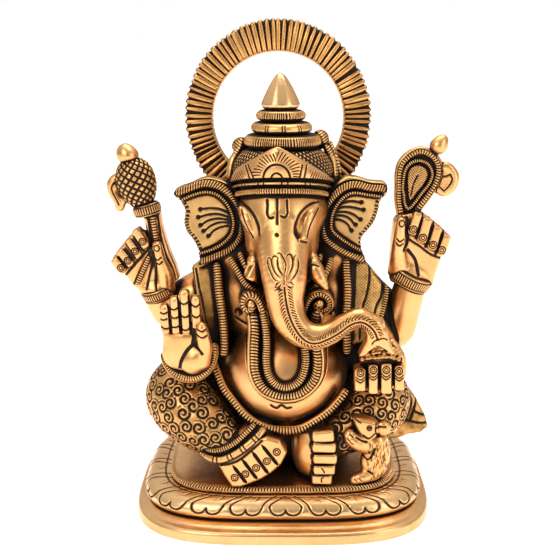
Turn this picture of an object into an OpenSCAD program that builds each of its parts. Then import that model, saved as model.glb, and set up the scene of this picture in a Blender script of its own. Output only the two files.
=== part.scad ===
// Seated four-armed elephant-headed figure on a lotus base, cast brass.
// Frame: X to the viewer's right, Y to the back, Z up, origin at the
// bottom centre of the base. Millimetres. "_l" and "_r" are the
// viewer's left and right.

/* [Base] */
// Width of the plinth, left to right
plinth_w = 156; // [130:1:180]
// Depth of the plinth, front to back
plinth_d = 127.2; // [100:0.2:150]
// Height of the straight plinth wall
plinth_h = 6; // [4:0.5:8]
// Corner fullness of the base outlines
base_power = 3.4; // [2:0.1:6]
// Wall thickness of the hollow base castings
base_wall = 4; // [2.5:0.5:7]
// Width of the lotus tier at its fullest
lotus_w = 148; // [120:1:170]
// Depth of the lotus tier at its fullest
lotus_d = 112; // [90:1:130]
// Height of the top face of the lotus tier
lotus_top = 19.2; // [16:0.2:24]
// Width of the seat plate
seat_w = 120; // [100:1:140]
// Depth of the seat plate
seat_d = 94.6; // [80:0.2:110]
// Thickness of the seat plate
seat_t = 4; // [3:0.5:6]

/* [Fixings] */
// Diameter of the studs holding the figure to the seat
stud_d = 5; // [4:0.5:8]
// Distance between the two studs
stud_gap = 50; // [30:1:70]
// Width of the stud nuts across flats
nut_af = 9; // [7:0.5:13]
// Thickness of the stud nuts
nut_t = 3; // [2:0.5:5]

/* [Halo] */
// Half-width of the halo ring
halo_rx = 48.5; // [40:0.5:60]
// Half-height of the halo ring
halo_rz = 50.6; // [40:0.1:60]
// Half-width of the halo opening
halo_hole = 34; // [25:0.5:45]
// Thickness of the halo ring, front to back
halo_t = 7; // [4:0.5:12]
// Number of cut ribs round the halo
halo_ribs = 64; // [40:1:90]

/* [Crown] */
// Radius of the lowest crown tier
tier_r1 = 19.3; // [15:0.1:24]
// Radius of the middle crown tier
tier_r2 = 15.3; // [12:0.1:20]
// Radius of the top crown tier
tier_r3 = 12.4; // [8:0.1:16]
// Radius of the pointed finial
finial_r = 10.3; // [7:0.1:13]
// Thickness of the peaked front plate of the crown
diadem_t = 3.4; // [2:0.2:6]

/* [Figure] */
// Thickness of the ears
ear_t = 6; // [4:0.5:10]
// Half-width of the beaded bands
band_r = 2.4; // [1.5:0.1:3.5]
// Half-width of the outer garland
garland_r = 3; // [2:0.1:4]
// Facets round each modelled form
form_fn = 14; // [10:2:24]
// Facets round each small form
small_fn = 8; // [8:2:16]

/* [Hidden] */
brass = [0.78, 0.57, 0.29];
dark = [0.55, 0.38, 0.18];
seat_top = lotus_top + seat_t;
halo_c = [-2.4, 14, 203];
crown_c = [-1.2, -11, 0];

ear_l_pts = [
  [-34.6, 176.2], [-41, 175.7], [-46, 173.4], [-52, 171.4], [-54.6, 168.4],
  [-51.4, 165], [-48.9, 160], [-49.5, 154], [-48.2, 149], [-45.2, 145],
  [-42.8, 139.6], [-42.4, 134], [-43, 130.4], [-36.4, 133.2], [-29.3, 135.4],
  [-22.6, 139.6], [-19, 145], [-18, 152.6], [-19.4, 162.6], [-23.8, 170.4]
];
ear_r_pts = [
  [29.8, 176.2], [23.5, 168.8], [18.6, 160.2], [18.2, 151], [20.3, 144],
  [26.4, 138.6], [34, 135.6], [42.2, 133.4], [40.6, 138.2], [39.4, 143.4],
  [40.4, 147], [45.2, 153], [47.6, 159.2], [48.6, 164.6], [50.9, 167.6],
  [52.4, 171.2], [50.2, 174.2], [43.2, 174.8], [35.8, 176.8]
];
ear_l_band = [
  [-52.6, 169.4], [-45.9, 172], [-38.4, 174], [-32, 173.4], [-26.2, 169],
  [-21.6, 162], [-20.2, 154.4], [-21.4, 146.4], [-26, 140.4], [-34.2, 136.8],
  [-41.6, 134.4]
];
ear_r_band = [
  [50.4, 172], [43.1, 172.4], [34.2, 174.2], [28.3, 171.8], [22.8, 165.6],
  [19.9, 158], [19.6, 151.4], [21.6, 145.4], [28, 140.2], [40.4, 135]
];
garland_path = [
  [-25, -25, 138], [-19, -33, 129], [-14, -37, 120], [-13.4, -40, 110],
  [-14, -42, 98], [-14.6, -43.5, 88], [-12.3, -43.5, 79], [-7.4, -43, 73.2],
  [0, -43, 70.6], [7.6, -43, 71.6], [13.5, -43, 75.8], [17.4, -43, 81.6],
  [18.4, -42, 90], [18, -41, 99], [15.4, -38.5, 111], [17, -36, 121],
  [22, -32, 130], [28, -25, 137.6]
];
garland_in_path = [
  [-16, -28, 137], [-12, -35, 128], [-9.6, -38.5, 119], [-9.1, -41, 108],
  [-9.5, -43, 97], [-9.6, -44, 89], [-7.6, -44, 82.5], [-3.4, -44, 77.6],
  [2.2, -44, 75.4], [8, -44, 78.2], [11.6, -43.4, 84], [13, -42.6, 92],
  [12.6, -41, 102], [11, -39, 112], [12.6, -36, 122], [19, -28, 136]
];
belt_path = [
  [-35, -20, 86], [-32, -29, 78], [-26.6, -34, 68.6], [-20, -37, 60.4],
  [-11.6, -39, 54.4], [-1.6, -40, 51.6], [8.4, -39.6, 53], [17.6, -38, 57.4],
  [25.4, -34, 63.4], [32, -28, 71.4], [36, -20, 78]
];
trunk_path = [
  [0, -36, 148, 14], [-0.2, -42, 139, 12], [0, -47, 131, 10.4],
  [1, -49, 123, 9], [3, -51, 114, 8.2], [8.2, -52, 107.4, 7],
  [15.4, -53, 105, 6.4], [22.6, -52, 106.6, 5.6], [29.7, -51, 111, 5],
  [36.8, -50, 113.6, 5], [42.4, -50, 110.6, 4.6], [45.2, -50, 104.6, 4.6],
  [46.2, -49, 98.6, 5.8]
];

function sgn(v) = v < 0 ? -1 : 1;
function oval(a, b, n) = [
  for (i = [0:47])
    let (c = cos(i * 7.5), s = sin(i * 7.5))
      [a * sgn(c) * pow(abs(c), 2 / n), b * sgn(s) * pow(abs(s), 2 / n)]
];
function rot_pt(t, rx, ry, z) = [rx * sin(t), -ry * cos(t), z];

module slab(a, b, z0, z1, n = base_power) {
  translate([0, 0, z0])
    linear_extrude(z1 - z0)
      polygon(oval(a, b, n));
}

module egg(p, s, f = form_fn) {
  hull()
    translate(p)
      scale(s)
        sphere(1, $fn = f);
}

module chain(q, f = form_fn) {
  for (i = [0:len(q) - 2]) {
    hull() {
      translate([q[i][0], q[i][1], q[i][2]])
        sphere(q[i][3], $fn = f);
      translate([q[i + 1][0], q[i + 1][1], q[i + 1][2]])
        sphere(q[i + 1][3], $fn = f);
    }
  }
}

module cord(q, r, f = small_fn) {
  chain([for (p = q) [p[0], p[1], p[2], r]], f);
}

module cord_xz(q, y, r, f = small_fn) {
  chain([for (p = q) [p[0], y, p[1], r]], f);
}

module sheet_xz(pts, y0, y1) {
  translate([0, y1, 0])
    rotate([90, 0, 0])
      linear_extrude(y1 - y0)
        polygon(pts);
}

module above_seat() {
  translate([-100, -100, seat_top])
    cube([200, 200, 260]);
}

// ---- raw forms, before each is trimmed to its neighbours ----

module torso_form() {
  intersection() {
    union() {
      egg([1, -13, 77], [35, 29.5, 28]);
      egg([0, 2, 84], [37, 22, 34]);
      egg([1, -5, 112], [40, 23, 19]);
      egg([-30, 0, 118], [15, 15, 13]);
      egg([31, 0, 118], [15, 15, 13]);
      egg([0, -2, 44], [40, 27, 27]);
      egg([0, -8, 134], [19, 18, 14]);
      egg([0, -8, 100], [30, 28, 20]);
    }
    above_seat();
  }
}

module head_form() {
  egg([0, -16, 160], [24.6, 28.6, 17]);
  egg([-12, -25, 146], [9.4, 10, 14]);
  egg([12, -25, 146], [9.4, 10, 14]);
  egg([0, -28, 147], [14.6, 17, 17]);
  egg([0, -12, 150], [19, 22, 19]);
}

module leg_l_form() {
  intersection() {
    union() {
      chain([[-20, 0, 46, 20], [-50, -10, 59, 20.6], [-47, -22, 55, 18],
             [-31, -34, 45.6, 12]]);
    }
    above_seat();
  }
}

module leg_r_form() {
  intersection() {
    union() {
      chain([[20, 0, 46, 20], [47, -9, 57, 19.6], [42, -20, 51, 16],
             [24, -27, 44, 12]]);
    }
    above_seat();
  }
}

module arms_back_form() {
  arm_back_l_form();
  arm_back_r_form();
}

module arm_back_l_form() {
  chain([[-34, 0, 118, 13], [-51, -4, 110, 11], [-57, -6, 102, 10],
         [-64.4, -11, 113.4, 8]]);
}

module arm_back_r_form() {
  chain([[35, 0, 118, 13], [51, -3, 104, 12], [60, -7, 93.4, 9.4],
         [62.6, -10, 106, 9], [65.2, -12, 118, 8.6]]);
}

module arm_front_l_form() {
  chain([[-37, -4, 112, 11], [-44, -14, 97, 11], [-46, -27, 91, 9]]);
}

module arm_front_r_form() {
  chain([[38, -4, 110, 12], [47, -14, 92, 11], [49, -27, 82, 9]]);
}

module crown_dome_form() {
  translate([0, -13, 0])
    rotate_extrude($fn = 40)
      polygon([[0, 172], [23.4, 172], [25.4, 180], [22.6, 187], [18, 190.4], [0, 190.4]]);
}

module hand_front_l_form() {
  hull() {
    egg([-53.6, -36, 100], [5, 4.6, 5]);
    egg([-43.6, -36, 100], [4.6, 4.6, 5]);
    egg([-53.2, -36, 91], [5.8, 5, 6]);
    egg([-44, -36, 89], [7, 5.4, 6]);
  }
  chain([[-57, -37.4, 103, 3], [-57.2, -38, 114.4, 2.7]], small_fn);
  chain([[-52.2, -37.6, 103, 3.1], [-52.4, -38.4, 118, 2.9]], small_fn);
  chain([[-47.2, -37.6, 103, 3.1], [-47.8, -38.4, 121, 2.9]], small_fn);
  chain([[-42.2, -37.6, 103, 3.1], [-42.4, -38.4, 118.4, 2.8]], small_fn);
  chain([[-41, -39, 88, 4.2], [-38.6, -40, 97, 3.8], [-39.4, -41, 105, 3.2]], small_fn);
}

module hand_front_r_form() {
  hull() {
    egg([42, -36, 77], [5, 6, 5]);
    egg([55, -36, 77], [4.6, 6, 5]);
    egg([48, -34, 88], [9, 6, 4]);
  }
  for (k = [0:3]) {
    top = [84.6, 88.4, 88.8, 86][k];
    low = [76, 74.4, 74.4, 77][k];
    chain([[39.4 + k * 6.1, -42, low, 2.9], [39.4 + k * 6.1, -42.6, top, 2.9]], small_fn);
  }
  chain([[57, -38, 80, 3], [59, -39, 90, 3]], small_fn);
}

module hand_back_l_form() {
  hull() {
    egg([-66, -13, 121], [7.4, 7, 6]);
    egg([-77, -13, 127], [5, 6, 5.6]);
    egg([-68, -13, 133], [6, 6, 6]);
  }
  for (k = [0:3]) {
    hull() {
      translate([-75 - k * 2.8, -11, 148 - k * 4.6])
        sphere(3.4, $fn = small_fn);
      translate([-69.6 - k * 3.4, -18, 142.6 - k * 4.6])
        sphere(3.2, $fn = small_fn);
    }
  }
  chain([[-60, -15, 121, 5.4], [-61.6, -18, 131, 4], [-64.4, -19, 141.6, 3.6]], small_fn);
}

module hand_back_r_form() {
  hull() {
    egg([61, -13, 130], [7, 7, 6]);
    egg([72, -13, 132], [6.4, 6, 6]);
    egg([66, -12, 141], [8, 6, 6]);
  }
  for (k = [0:3]) {
    hull() {
      translate([69.4 + k * 4.4, -12, 156.4 - k * 4.4])
        sphere(3.7, $fn = small_fn);
      translate([65.4 + k * 4.8, -18, 148.6 - k * 4])
        sphere(3.6, $fn = small_fn);
    }
  }
  chain([[60, -15, 131, 5.6], [59, -17.4, 142, 4], [60.4, -18, 151.4, 3.6]], small_fn);
}

module foot_l_form() {
  hull() {
    egg([-29, -37, 38], [6, 6, 6]);
    egg([-13, -35, 46], [7, 6, 6]);
    egg([-24, -40, 32], [5, 5, 5]);
    egg([-7, -40, 42], [6, 5, 5]);
  }
  for (k = [0:4]) {
    hull() {
      translate([-27 + k * 5.3, -42, 34.4 + k * 3.6])
        sphere(3.2 + k * 0.15, $fn = small_fn);
      translate([-24.6 + k * 5.3, -44, 28.8 + k * 3.6])
        sphere(3 + k * 0.25, $fn = small_fn);
    }
  }
}

module foot_r_form() {
  intersection() {
    union() {
      egg([13, -32, 39], [8, 11, 17]);
      hull() {
        egg([16, -36, 50], [5, 6, 5]);
        egg([17, -36, 28], [5, 6, 6]);
      }
      for (k = [0:4]) {
        chain([[15, -39, 51.2 - k * 6.2, 3.4], [23 + (k == 0 ? -2 : 0), -42, 50.8 - k * 6, 3.2]], small_fn);
      }
    }
    above_seat();
  }
}

module body_core() {
  torso_form();
  head_form();
}

module limbs_core() {
  leg_l_form();
  leg_r_form();
  arms_back_form();
  arm_front_l_form();
  arm_front_r_form();
}

// ---- base castings and fixings ----

module base_plinth() {
  color(brass)
    difference() {
      union() {
        slab(plinth_w / 2, plinth_d / 2, 0, plinth_h);
        slab(plinth_w / 2 - 1.5, plinth_d / 2 - 1.5, plinth_h, plinth_h + 1.2);
        slab(plinth_w / 2 - 3.5, plinth_d / 2 - 3.5, plinth_h + 1.2, plinth_h + 2.3);
      }
      slab(plinth_w / 2 - base_wall, plinth_d / 2 - base_wall, -1, 4.6);
      slab(plinth_w / 2 - 12, plinth_d / 2 - 14, 4, plinth_h + 4);
    }
}

module lotus_tier() {
  z0 = plinth_h + 2.3;
  color(brass)
    difference() {
      union() {
        slab(lotus_w / 2 - 1.4, lotus_d / 2 - 1.4, z0, 10);
        slab(lotus_w / 2, lotus_d / 2, 10, 13.4);
        slab(lotus_w / 2 - 1.2, lotus_d / 2 - 1.2, 13.4, 15);
        slab(lotus_w / 2 - 3.2, lotus_d / 2 - 2.6, 15, 16.6);
        slab(lotus_w / 2 - 6, lotus_d / 2 - 4.4, 16.6, 18);
        slab(lotus_w / 2 - 9.6, lotus_d / 2 - 6.6, 18, lotus_top);
      }
      slab(plinth_w / 2 - 12, plinth_d / 2 - 14, z0 - 1, 13);
      slab(lotus_w / 2 - 13, lotus_d / 2 - 10, 12, lotus_top - 3.2);
      for (s = [-1, 1]) {
        translate([s * stud_gap / 2, 0, lotus_top - 6])
          cylinder(d = stud_d, h = 10, $fn = 24);
      }
    }
}

module seat_plate() {
  color(brass)
    difference() {
      union() {
        slab(seat_w / 2 - 3, seat_d / 2 - 2.4, lotus_top, lotus_top + 1.2, 4);
        slab(seat_w / 2, seat_d / 2, lotus_top + 1.2, seat_top, 4);
      }
      for (s = [-1, 1]) {
        translate([s * stud_gap / 2, 0, lotus_top - 1])
          cylinder(d = stud_d, h = 10, $fn = 24);
      }
    }
}

module seat_studs() {
  color(dark)
    for (s = [-1, 1]) {
      translate([s * stud_gap / 2, 0, lotus_top - 3.2 - nut_t - 1.5])
        cylinder(d = stud_d, h = seat_t + nut_t + 16.7, $fn = 24);
    }
}

module stud_nuts() {
  color(dark)
    for (s = [-1, 1]) {
      translate([s * stud_gap / 2, 0, lotus_top - 3.2 - nut_t])
        difference() {
          cylinder(d = nut_af / cos(30), h = nut_t, $fn = 6);
          translate([0, 0, -1])
            cylinder(d = stud_d, h = nut_t + 2, $fn = 24);
        }
    }
}

// ---- body ----

module torso() {
  color(brass)
    difference() {
      torso_form();
      seat_studs();
      head_form();
    }
}

module head() {
  color(brass)
    head_form();
}

module leg_l() {
  color(brass)
    difference() {
      leg_l_form();
      torso_form();
      seat_studs();
    }
}

module leg_r() {
  color(brass)
    difference() {
      leg_r_form();
      torso_form();
      seat_studs();
    }
}

module anklet_l() {
  color(brass)
    difference() {
      union() {
        cord([[-38, -33, 42], [-31, -40.4, 43.4], [-24, -43, 47], [-16, -42.4, 51.4],
              [-11, -39, 53.4]], 2.4);
        cord([[-36, -36, 36.6], [-29.4, -42, 39], [-22, -44, 43], [-14, -42.6, 47.4],
              [-9, -39, 50]], 2.2);
      }
      leg_l_form();
      torso_form();
      foot_l_form();
    }
}

module foot_l() {
  color(brass)
    difference() {
      foot_l_form();
      leg_l_form();
      torso_form();
    }
}

module foot_r() {
  color(brass)
    difference() {
      foot_r_form();
      leg_r_form();
      torso_form();
    }
}

module waist_belt() {
  color(brass)
    difference() {
      cord(belt_path, band_r);
      torso_form();
      leg_l_form();
      leg_r_form();
      foot_r_form();
      foot_l_form();
    }
}

module garland_outer() {
  color(brass)
    difference() {
      cord(garland_path, garland_r);
      body_core();
      chain(trunk_path);
    }
}

module garland_inner() {
  color(brass)
    difference() {
      cord(garland_in_path, band_r);
      body_core();
      cord(garland_path, garland_r);
      chain(trunk_path);
    }
}

module garland_curls() {
  color(brass)
    difference() {
      union() {
        egg([-16.4, -39.6, 117.6], [5, 3.4, 5]);
        egg([18.4, -39.6, 117.6], [5, 3.4, 5]);
      }
      body_core();
      cord(garland_path, garland_r);
      cord(garland_in_path, band_r);
      chain(trunk_path);
    }
}

module chest_studs() {
  color(brass)
    difference() {
      union() {
        egg([-22, -27.4, 110], [2.2, 3, 2.2], small_fn);
        egg([24.4, -27, 110], [2.2, 3, 2.2], small_fn);
      }
      torso_form();
    }
}

module sash_strips() {
  color(brass)
    difference() {
      union() {
        cord([[-32, -18, 132], [-31.4, -23, 122], [-29.4, -27, 108], [-29, -30, 96],
              [-29, -33, 88]], 2.8);
        cord([[32, -18, 133], [32, -23, 122], [32.2, -27, 110], [32, -29, 100],
              [31.6, -32, 90]], 2.8);
      }
      torso_form();
      head_form();
      arm_front_l_form();
      arm_front_r_form();
    }
}

module cloth_panels() {
  color(brass)
    difference() {
      union() {
        chain([[-38.4, -14, 128, 4.4], [-38, -19, 114, 4.6], [-36, -24, 98, 4]], small_fn);
        chain([[39.4, -13, 129, 5], [40, -18, 114, 5.4], [40, -21, 106, 5]], small_fn);
        chain([[47.6, -11, 125, 4.6], [48, -16, 114, 5], [47.4, -20, 103, 4.4]], small_fn);
        cord([[53.4, -9, 122], [52.6, -13, 113], [49.6, -20, 102]], 2.2);
      }
      torso_form();
      arm_front_l_form();
      arm_front_r_form();
      arms_back_form();
      cord([[-32, -18, 132], [-31.4, -23, 122], [-29.4, -27, 108], [-29, -30, 96],
            [-29, -33, 88]], 2.8);
      cord([[32, -18, 133], [32, -23, 122], [32.2, -27, 110], [32, -29, 100],
            [31.6, -32, 90]], 2.8);
    }
}

// ---- arms and hands ----

module arm_back_l() {
  color(brass)
    difference() {
      arm_back_l_form();
      torso_form();
      bracelet_solid_l();
    }
}

module arm_back_r() {
  color(brass)
    difference() {
      arm_back_r_form();
      torso_form();
      bracelet_solid_r();
    }
}

module arm_front_l() {
  color(brass)
    difference() {
      arm_front_l_form();
      torso_form();
      arm_back_l_form();
      leg_l_form();
    }
}

module arm_front_r() {
  color(brass)
    difference() {
      arm_front_r_form();
      torso_form();
      arm_back_r_form();
      leg_r_form();
    }
}

module bracelet_solid_l() {
  translate([-65.8, -12, 116])
    rotate([14, -22, 0])
      cylinder(r = 9, h = 6, center = true, $fn = 32);
}

module bracelet_solid_r() {
  translate([65.4, -12, 121])
    rotate([8, 12, 0])
      cylinder(r = 10.8, h = 6.6, center = true, $fn = 32);
}

module bracelet_l() {
  color(brass)
    bracelet_solid_l();
}

module bracelet_r() {
  color(brass)
    bracelet_solid_r();
}

module cuff_front_l() {
  color(brass)
    difference() {
      cord([[-59, -31, 87], [-56, -32, 82.4], [-51, -33, 79], [-46, -33.4, 78.2],
            [-40.6, -33, 80], [-36, -32, 84.6], [-33.6, -31, 91]], 2.8);
      hand_front_l_form();
      arm_front_l_form();
      leg_l_form();
      torso_form();
    }
}

module hand_front_l() {
  color(brass)
    difference() {
      hand_front_l_form();
      arm_front_l_form();
      torso_form();
      leg_l_form();
    }
}

module hand_front_r() {
  color(brass)
    difference() {
      hand_front_r_form();
      arm_front_r_form();
      torso_form();
      leg_r_form();
    }
}

module hand_back_l() {
  color(brass)
    difference() {
      hand_back_l_form();
      arm_back_l_form();
      bracelet_solid_l();
    }
}

module hand_back_r() {
  color(brass)
    difference() {
      hand_back_r_form();
      arm_back_r_form();
      bracelet_solid_r();
    }
}

// ---- things held in the hands ----

module mace_rod_form() {
  chain([[-68, -14.6, 158, 3.4], [-65.4, -15.6, 147, 3.2], [-64.6, -16, 140, 3.2]], small_fn);
  chain([[-66.8, -17.4, 135, 2.7], [-74, -17, 119.4, 2.9]], small_fn);
  chain([[-63.6, -10, 159, 3.6], [-60.8, -9, 145, 4], [-58, -8, 131, 4.6]], small_fn);
}

module mace_collar_form() {
  translate([-68.4, -14, 160])
    rotate([0, -14, 0])
      cylinder(r = 7, h = 5.4, center = true, $fn = 28);
}

module mace_bud_form() {
  translate([-73, -14, 173])
    rotate([0, -15, 0])
      egg([0, 0, 0], [10, 10, 13.4], 20);
}

module mace_rod() {
  color(brass)
    difference() {
      mace_rod_form();
      hand_back_l_form();
      mace_collar_form();
      arm_back_l_form();
    }
}

module mace_collar() {
  color(brass)
    difference() {
      mace_collar_form();
      mace_bud_form();
    }
}

module mace_bud() {
  color(brass)
    mace_bud_form();
}

module mace_knob() {
  color(brass)
    difference() {
      union() {
        egg([-77.2, -14, 187.4], [5.4, 5.4, 4.8], 12);
        egg([-78, -14, 190], [2.6, 2.6, 3], 12);
      }
      mace_bud_form();
    }
}

module mace_scroll() {
  color(brass)
    difference() {
      chain([[-81, -14, 175.4, 2], [-84.4, -14, 175, 2.4], [-85.5, -14, 170.6, 2.5],
             [-83.6, -14, 166, 2.5], [-81.4, -14, 162, 2.3], [-79.6, -14, 166.6, 3]], small_fn);
      mace_bud_form();
    }
}

module noose_path_form() {
  cord([[58.8, -14, 170.6], [60.2, -14, 179], [64.6, -14, 185.6], [70, -14, 187.6],
        [75.2, -14, 184.4], [76.8, -14, 177.6], [73.6, -14, 170], [68, -14, 163.4],
        [62.4, -14, 158.6], [59.4, -14, 163], [58.8, -14, 170.6]], 3.4);
}

module noose_loop() {
  color(brass)
    difference() {
      noose_path_form();
      hand_back_r_form();
    }
}

module noose_leaf() {
  color(brass)
    difference() {
      hull() {
        egg([68, -14, 178], [8, 3, 8], 16);
        egg([63, -14, 164], [3, 2.6, 4], 12);
      }
      noose_path_form();
      hand_back_r_form();
    }
}

module noose_knob() {
  color(brass)
    difference() {
      union() {
        egg([77, -14, 191.4], [4.4, 4.4, 3.8], 12);
        egg([79, -14, 194.4], [2.4, 2.4, 2.8], 12);
      }
      noose_path_form();
    }
}

module noose_curl() {
  color(brass)
    difference() {
      chain([[79, -14, 181, 2.4], [84.4, -14, 180.6, 2.4], [85.6, -14, 175.6, 2.4],
             [84.4, -14, 170.8, 2.4], [78.4, -14, 170.6, 2.4]], small_fn);
      noose_path_form();
    }
}

module sweet_bowl() {
  color(brass)
    difference() {
      union() {
        egg([48, -42, 90.6], [10, 6.4, 4.4], 16);
        for (k = [0:3]) {
          egg([42 + k * 4, -43, 93], [2.6, 3, 2.4], small_fn);
        }
      }
      hand_front_r_form();
      chain(trunk_path);
    }
}

// ---- head, trunk, tusks, ears ----

module trunk() {
  color(brass)
    difference() {
      chain(trunk_path);
      body_core();
      hand_front_r_form();
    }
}

module tusk_l() {
  color(brass)
    difference() {
      chain([[-11, -33, 139, 4.4], [-14, -38, 134, 3.6], [-15.6, -40, 130, 3]], 12);
      head_form();
      torso_form();
      chain(trunk_path);
    }
}

module tusk_r() {
  color(brass)
    difference() {
      chain([[11, -33, 140, 4.4], [15, -39, 134.6, 3.6], [20, -43, 127, 0.9]], 12);
      head_form();
      torso_form();
      chain(trunk_path);
    }
}

module ear_l() {
  color(brass)
    difference() {
      sheet_xz(ear_l_pts, -20, -20 + ear_t);
      head_form();
      torso_form();
    }
}

module ear_r() {
  color(brass)
    difference() {
      sheet_xz(ear_r_pts, -20, -20 + ear_t);
      head_form();
      torso_form();
    }
}

module ear_trims() {
  color(brass)
    difference() {
      union() {
        cord_xz(ear_l_band, -21, 2.3);
        cord_xz(ear_r_band, -21, 2.3);
      }
      head_form();
      torso_form();
      sheet_xz(ear_l_pts, -20, -20 + ear_t);
      sheet_xz(ear_r_pts, -20, -20 + ear_t);
    }
}

// ---- crown ----

module brow_band_form() {
  for (t = [-80:16:64]) {
    hull() {
      translate(rot_pt(t, 25, 28.6, 173.4 - 3 * (1 - cos(t))) + [0, -13.4, 0])
        sphere(2.3, $fn = small_fn);
      translate(rot_pt(t + 16, 25, 28.6, 173.4 - 3 * (1 - cos(t + 16))) + [0, -13.4, 0])
        sphere(2.3, $fn = small_fn);
    }
  }
}

module fillet_form() {
  for (t = [-80:16:64]) {
    hull() {
      translate(rot_pt(t, 25.6, 28.4, 177.4 - 2 * (1 - cos(t))) + [0, -13.4, 0])
        sphere(1.5, $fn = small_fn);
      translate(rot_pt(t + 16, 25.6, 28.4, 177.4 - 2 * (1 - cos(t + 16))) + [0, -13.4, 0])
        sphere(1.5, $fn = small_fn);
    }
  }
}

module brow_band() {
  color(brass)
    difference() {
      brow_band_form();
      head_form();
      crown_dome_form();
    }
}

module crown_fillet() {
  color(brass)
    difference() {
      fillet_form();
      brow_band_form();
      head_form();
      crown_dome_form();
    }
}

module crown_dome() {
  color(brass)
    difference() {
      crown_dome_form();
      head_form();
      egg([0, -16, 150], [1, 1, 1]);
      egg([0, -16, 151], [1, 1, 1]);
      egg([0, -16, 152], [1, 1, 1]);
    }
}

module diadem_form() {
  for (t = [-76:15.2:60.8]) {
    hull() {
      for (a = [t, t + 15.2]) {
        top = 180.4 + 13.4 * pow(1 - abs(a) / 78, 0.9);
        translate(rot_pt(a, 27.6, 28.8, 0) + [-0.6, -12.6, 178.8])
          cylinder(d = diadem_t, h = top - 180, $fn = small_fn);
      }
    }
  }
}

module diadem() {
  color(brass)
    difference() {
      diadem_form();
      crown_dome_form();
      fillet_form();
      head_form();
    }
}

module crown_wings() {
  color(brass)
    difference() {
      union() {
        chain([[-27, -10, 175, 2.6], [-26.4, -10, 183, 2.6], [-22.6, -8, 190.4, 2.4]], small_fn);
        chain([[28, -10, 174, 2.6], [25.6, -10, 183, 2.6], [22, -8, 190.4, 2.4]], small_fn);
        egg([-21, -6, 190.6], [5, 6, 4.4]);
        egg([18.6, -6, 193.6], [5, 6, 5]);
      }
      crown_dome_form();
      head_form();
      diadem_form();
      translate(crown_c)
        cylinder(r = tier_r1, h = 197.4, $fn = 48);
      translate(crown_c)
        cylinder(r = tier_r2, h = 203, $fn = 48);
    }
}

module tier(r, z0, z1) {
  h = z1 - z0;
  translate(crown_c + [0, 0, z0])
    rotate_extrude($fn = 56)
      polygon([[0, 0], [r - 2.2, 0], [r - 0.7, h * 0.16], [r, h * 0.4], [r - 0.2, h * 0.6],
               [r - 1.2, h * 0.82], [r - 2.6, h], [0, h]]);
}

module crown_tier_low() {
  color(brass)
    tier(tier_r1, 190.4, 197.4);
}

module crown_tier_mid() {
  color(brass)
    tier(tier_r2, 197.4, 203.4);
}

module crown_tier_top() {
  color(brass)
    tier(tier_r3, 203.4, 209.2);
}

module finial() {
  color(brass)
    translate(crown_c + [0, 0, 209.2])
      rotate_extrude($fn = 56)
        polygon([[0, 0], [finial_r - 1.8, 0], [finial_r - 0.4, 1.4], [finial_r, 3],
                 [finial_r - 0.6, 5], [finial_r - 2.2, 8], [finial_r - 4.4, 11.4],
                 [finial_r - 7, 15], [1.6, 17], [0, 17.6]]);
}

module halo_ring() {
  n = halo_ribs * 2;
  color(brass)
    difference() {
      sheet_xz([for (i = [0:n - 1])
                  let (a = i * 360 / n, k = (i % 2 == 0 ? 0 : -0.9))
                    [halo_c[0] + (halo_rx + k) * cos(a), halo_c[2] + (halo_rz + k) * sin(a)]],
               halo_c[1] - halo_t / 2, halo_c[1] + halo_t / 2);
      sheet_xz([for (i = [0:63])
                  let (a = i * 360 / 64)
                    [halo_c[0] + halo_hole * cos(a), halo_c[2] + halo_hole * sin(a)]],
               halo_c[1] - halo_t, halo_c[1] + halo_t);
      sheet_xz([[-21, 140], [21, 140], [21, 176], [-21, 176]], 0, 30);
      head_form();
      crown_dome_form();
    }
}

// ---- attendant mouse and loose sash ends ----

module mouse() {
  color(brass)
    difference() {
      union() {
        chain([[46.4, -37, 31, 6.6], [46.8, -37, 40, 6.8], [46, -38, 46, 5.4]], 12);
        chain([[46.4, -39, 52.4, 5.4], [42, -40, 54.4, 4.2], [37.2, -41, 59, 1.2]], 12);
        egg([50.6, -37, 55], [3.4, 2, 3.4], small_fn);
        chain([[44, -40, 45.4, 3], [34.4, -42, 48, 2.8]], small_fn);
        chain([[47, -40, 27, 3.2], [37, -42, 26, 2.6]], small_fn);
      }
      leg_r_form();
      seat_plate();
    }
}

module sash_ends() {
  color(brass)
    difference() {
      union() {
        chain([[-64, 0, 66, 3.4], [-68, -3, 56, 3.4], [-67, -4, 48.4, 3]], small_fn);
        chain([[62, 0, 68, 3.4], [68, -3, 56, 3.6], [73.4, -4, 43.4, 4], [67, -5, 42, 3]], small_fn);
      }
      leg_l_form();
      leg_r_form();
      torso_form();
      arm_front_l_form();
      arm_front_r_form();
    }
}

base_plinth();
lotus_tier();
seat_plate();
seat_studs();
stud_nuts();
torso();
head();
leg_l();
leg_r();
anklet_l();
foot_l();
foot_r();
waist_belt();
garland_outer();
garland_inner();
garland_curls();
chest_studs();
sash_strips();
cloth_panels();
arm_back_l();
arm_back_r();
arm_front_l();
arm_front_r();
bracelet_l();
bracelet_r();
cuff_front_l();
hand_front_l();
hand_front_r();
hand_back_l();
hand_back_r();
mace_rod();
mace_collar();
mace_bud();
mace_knob();
mace_scroll();
noose_loop();
noose_leaf();
noose_knob();
noose_curl();
sweet_bowl();
trunk();
tusk_l();
tusk_r();
ear_l();
ear_r();
ear_trims();
brow_band();
crown_fillet();
crown_dome();
diadem();
crown_wings();
crown_tier_low();
crown_tier_mid();
crown_tier_top();
finial();
halo_ring();
mouse();
sash_ends();
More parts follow.
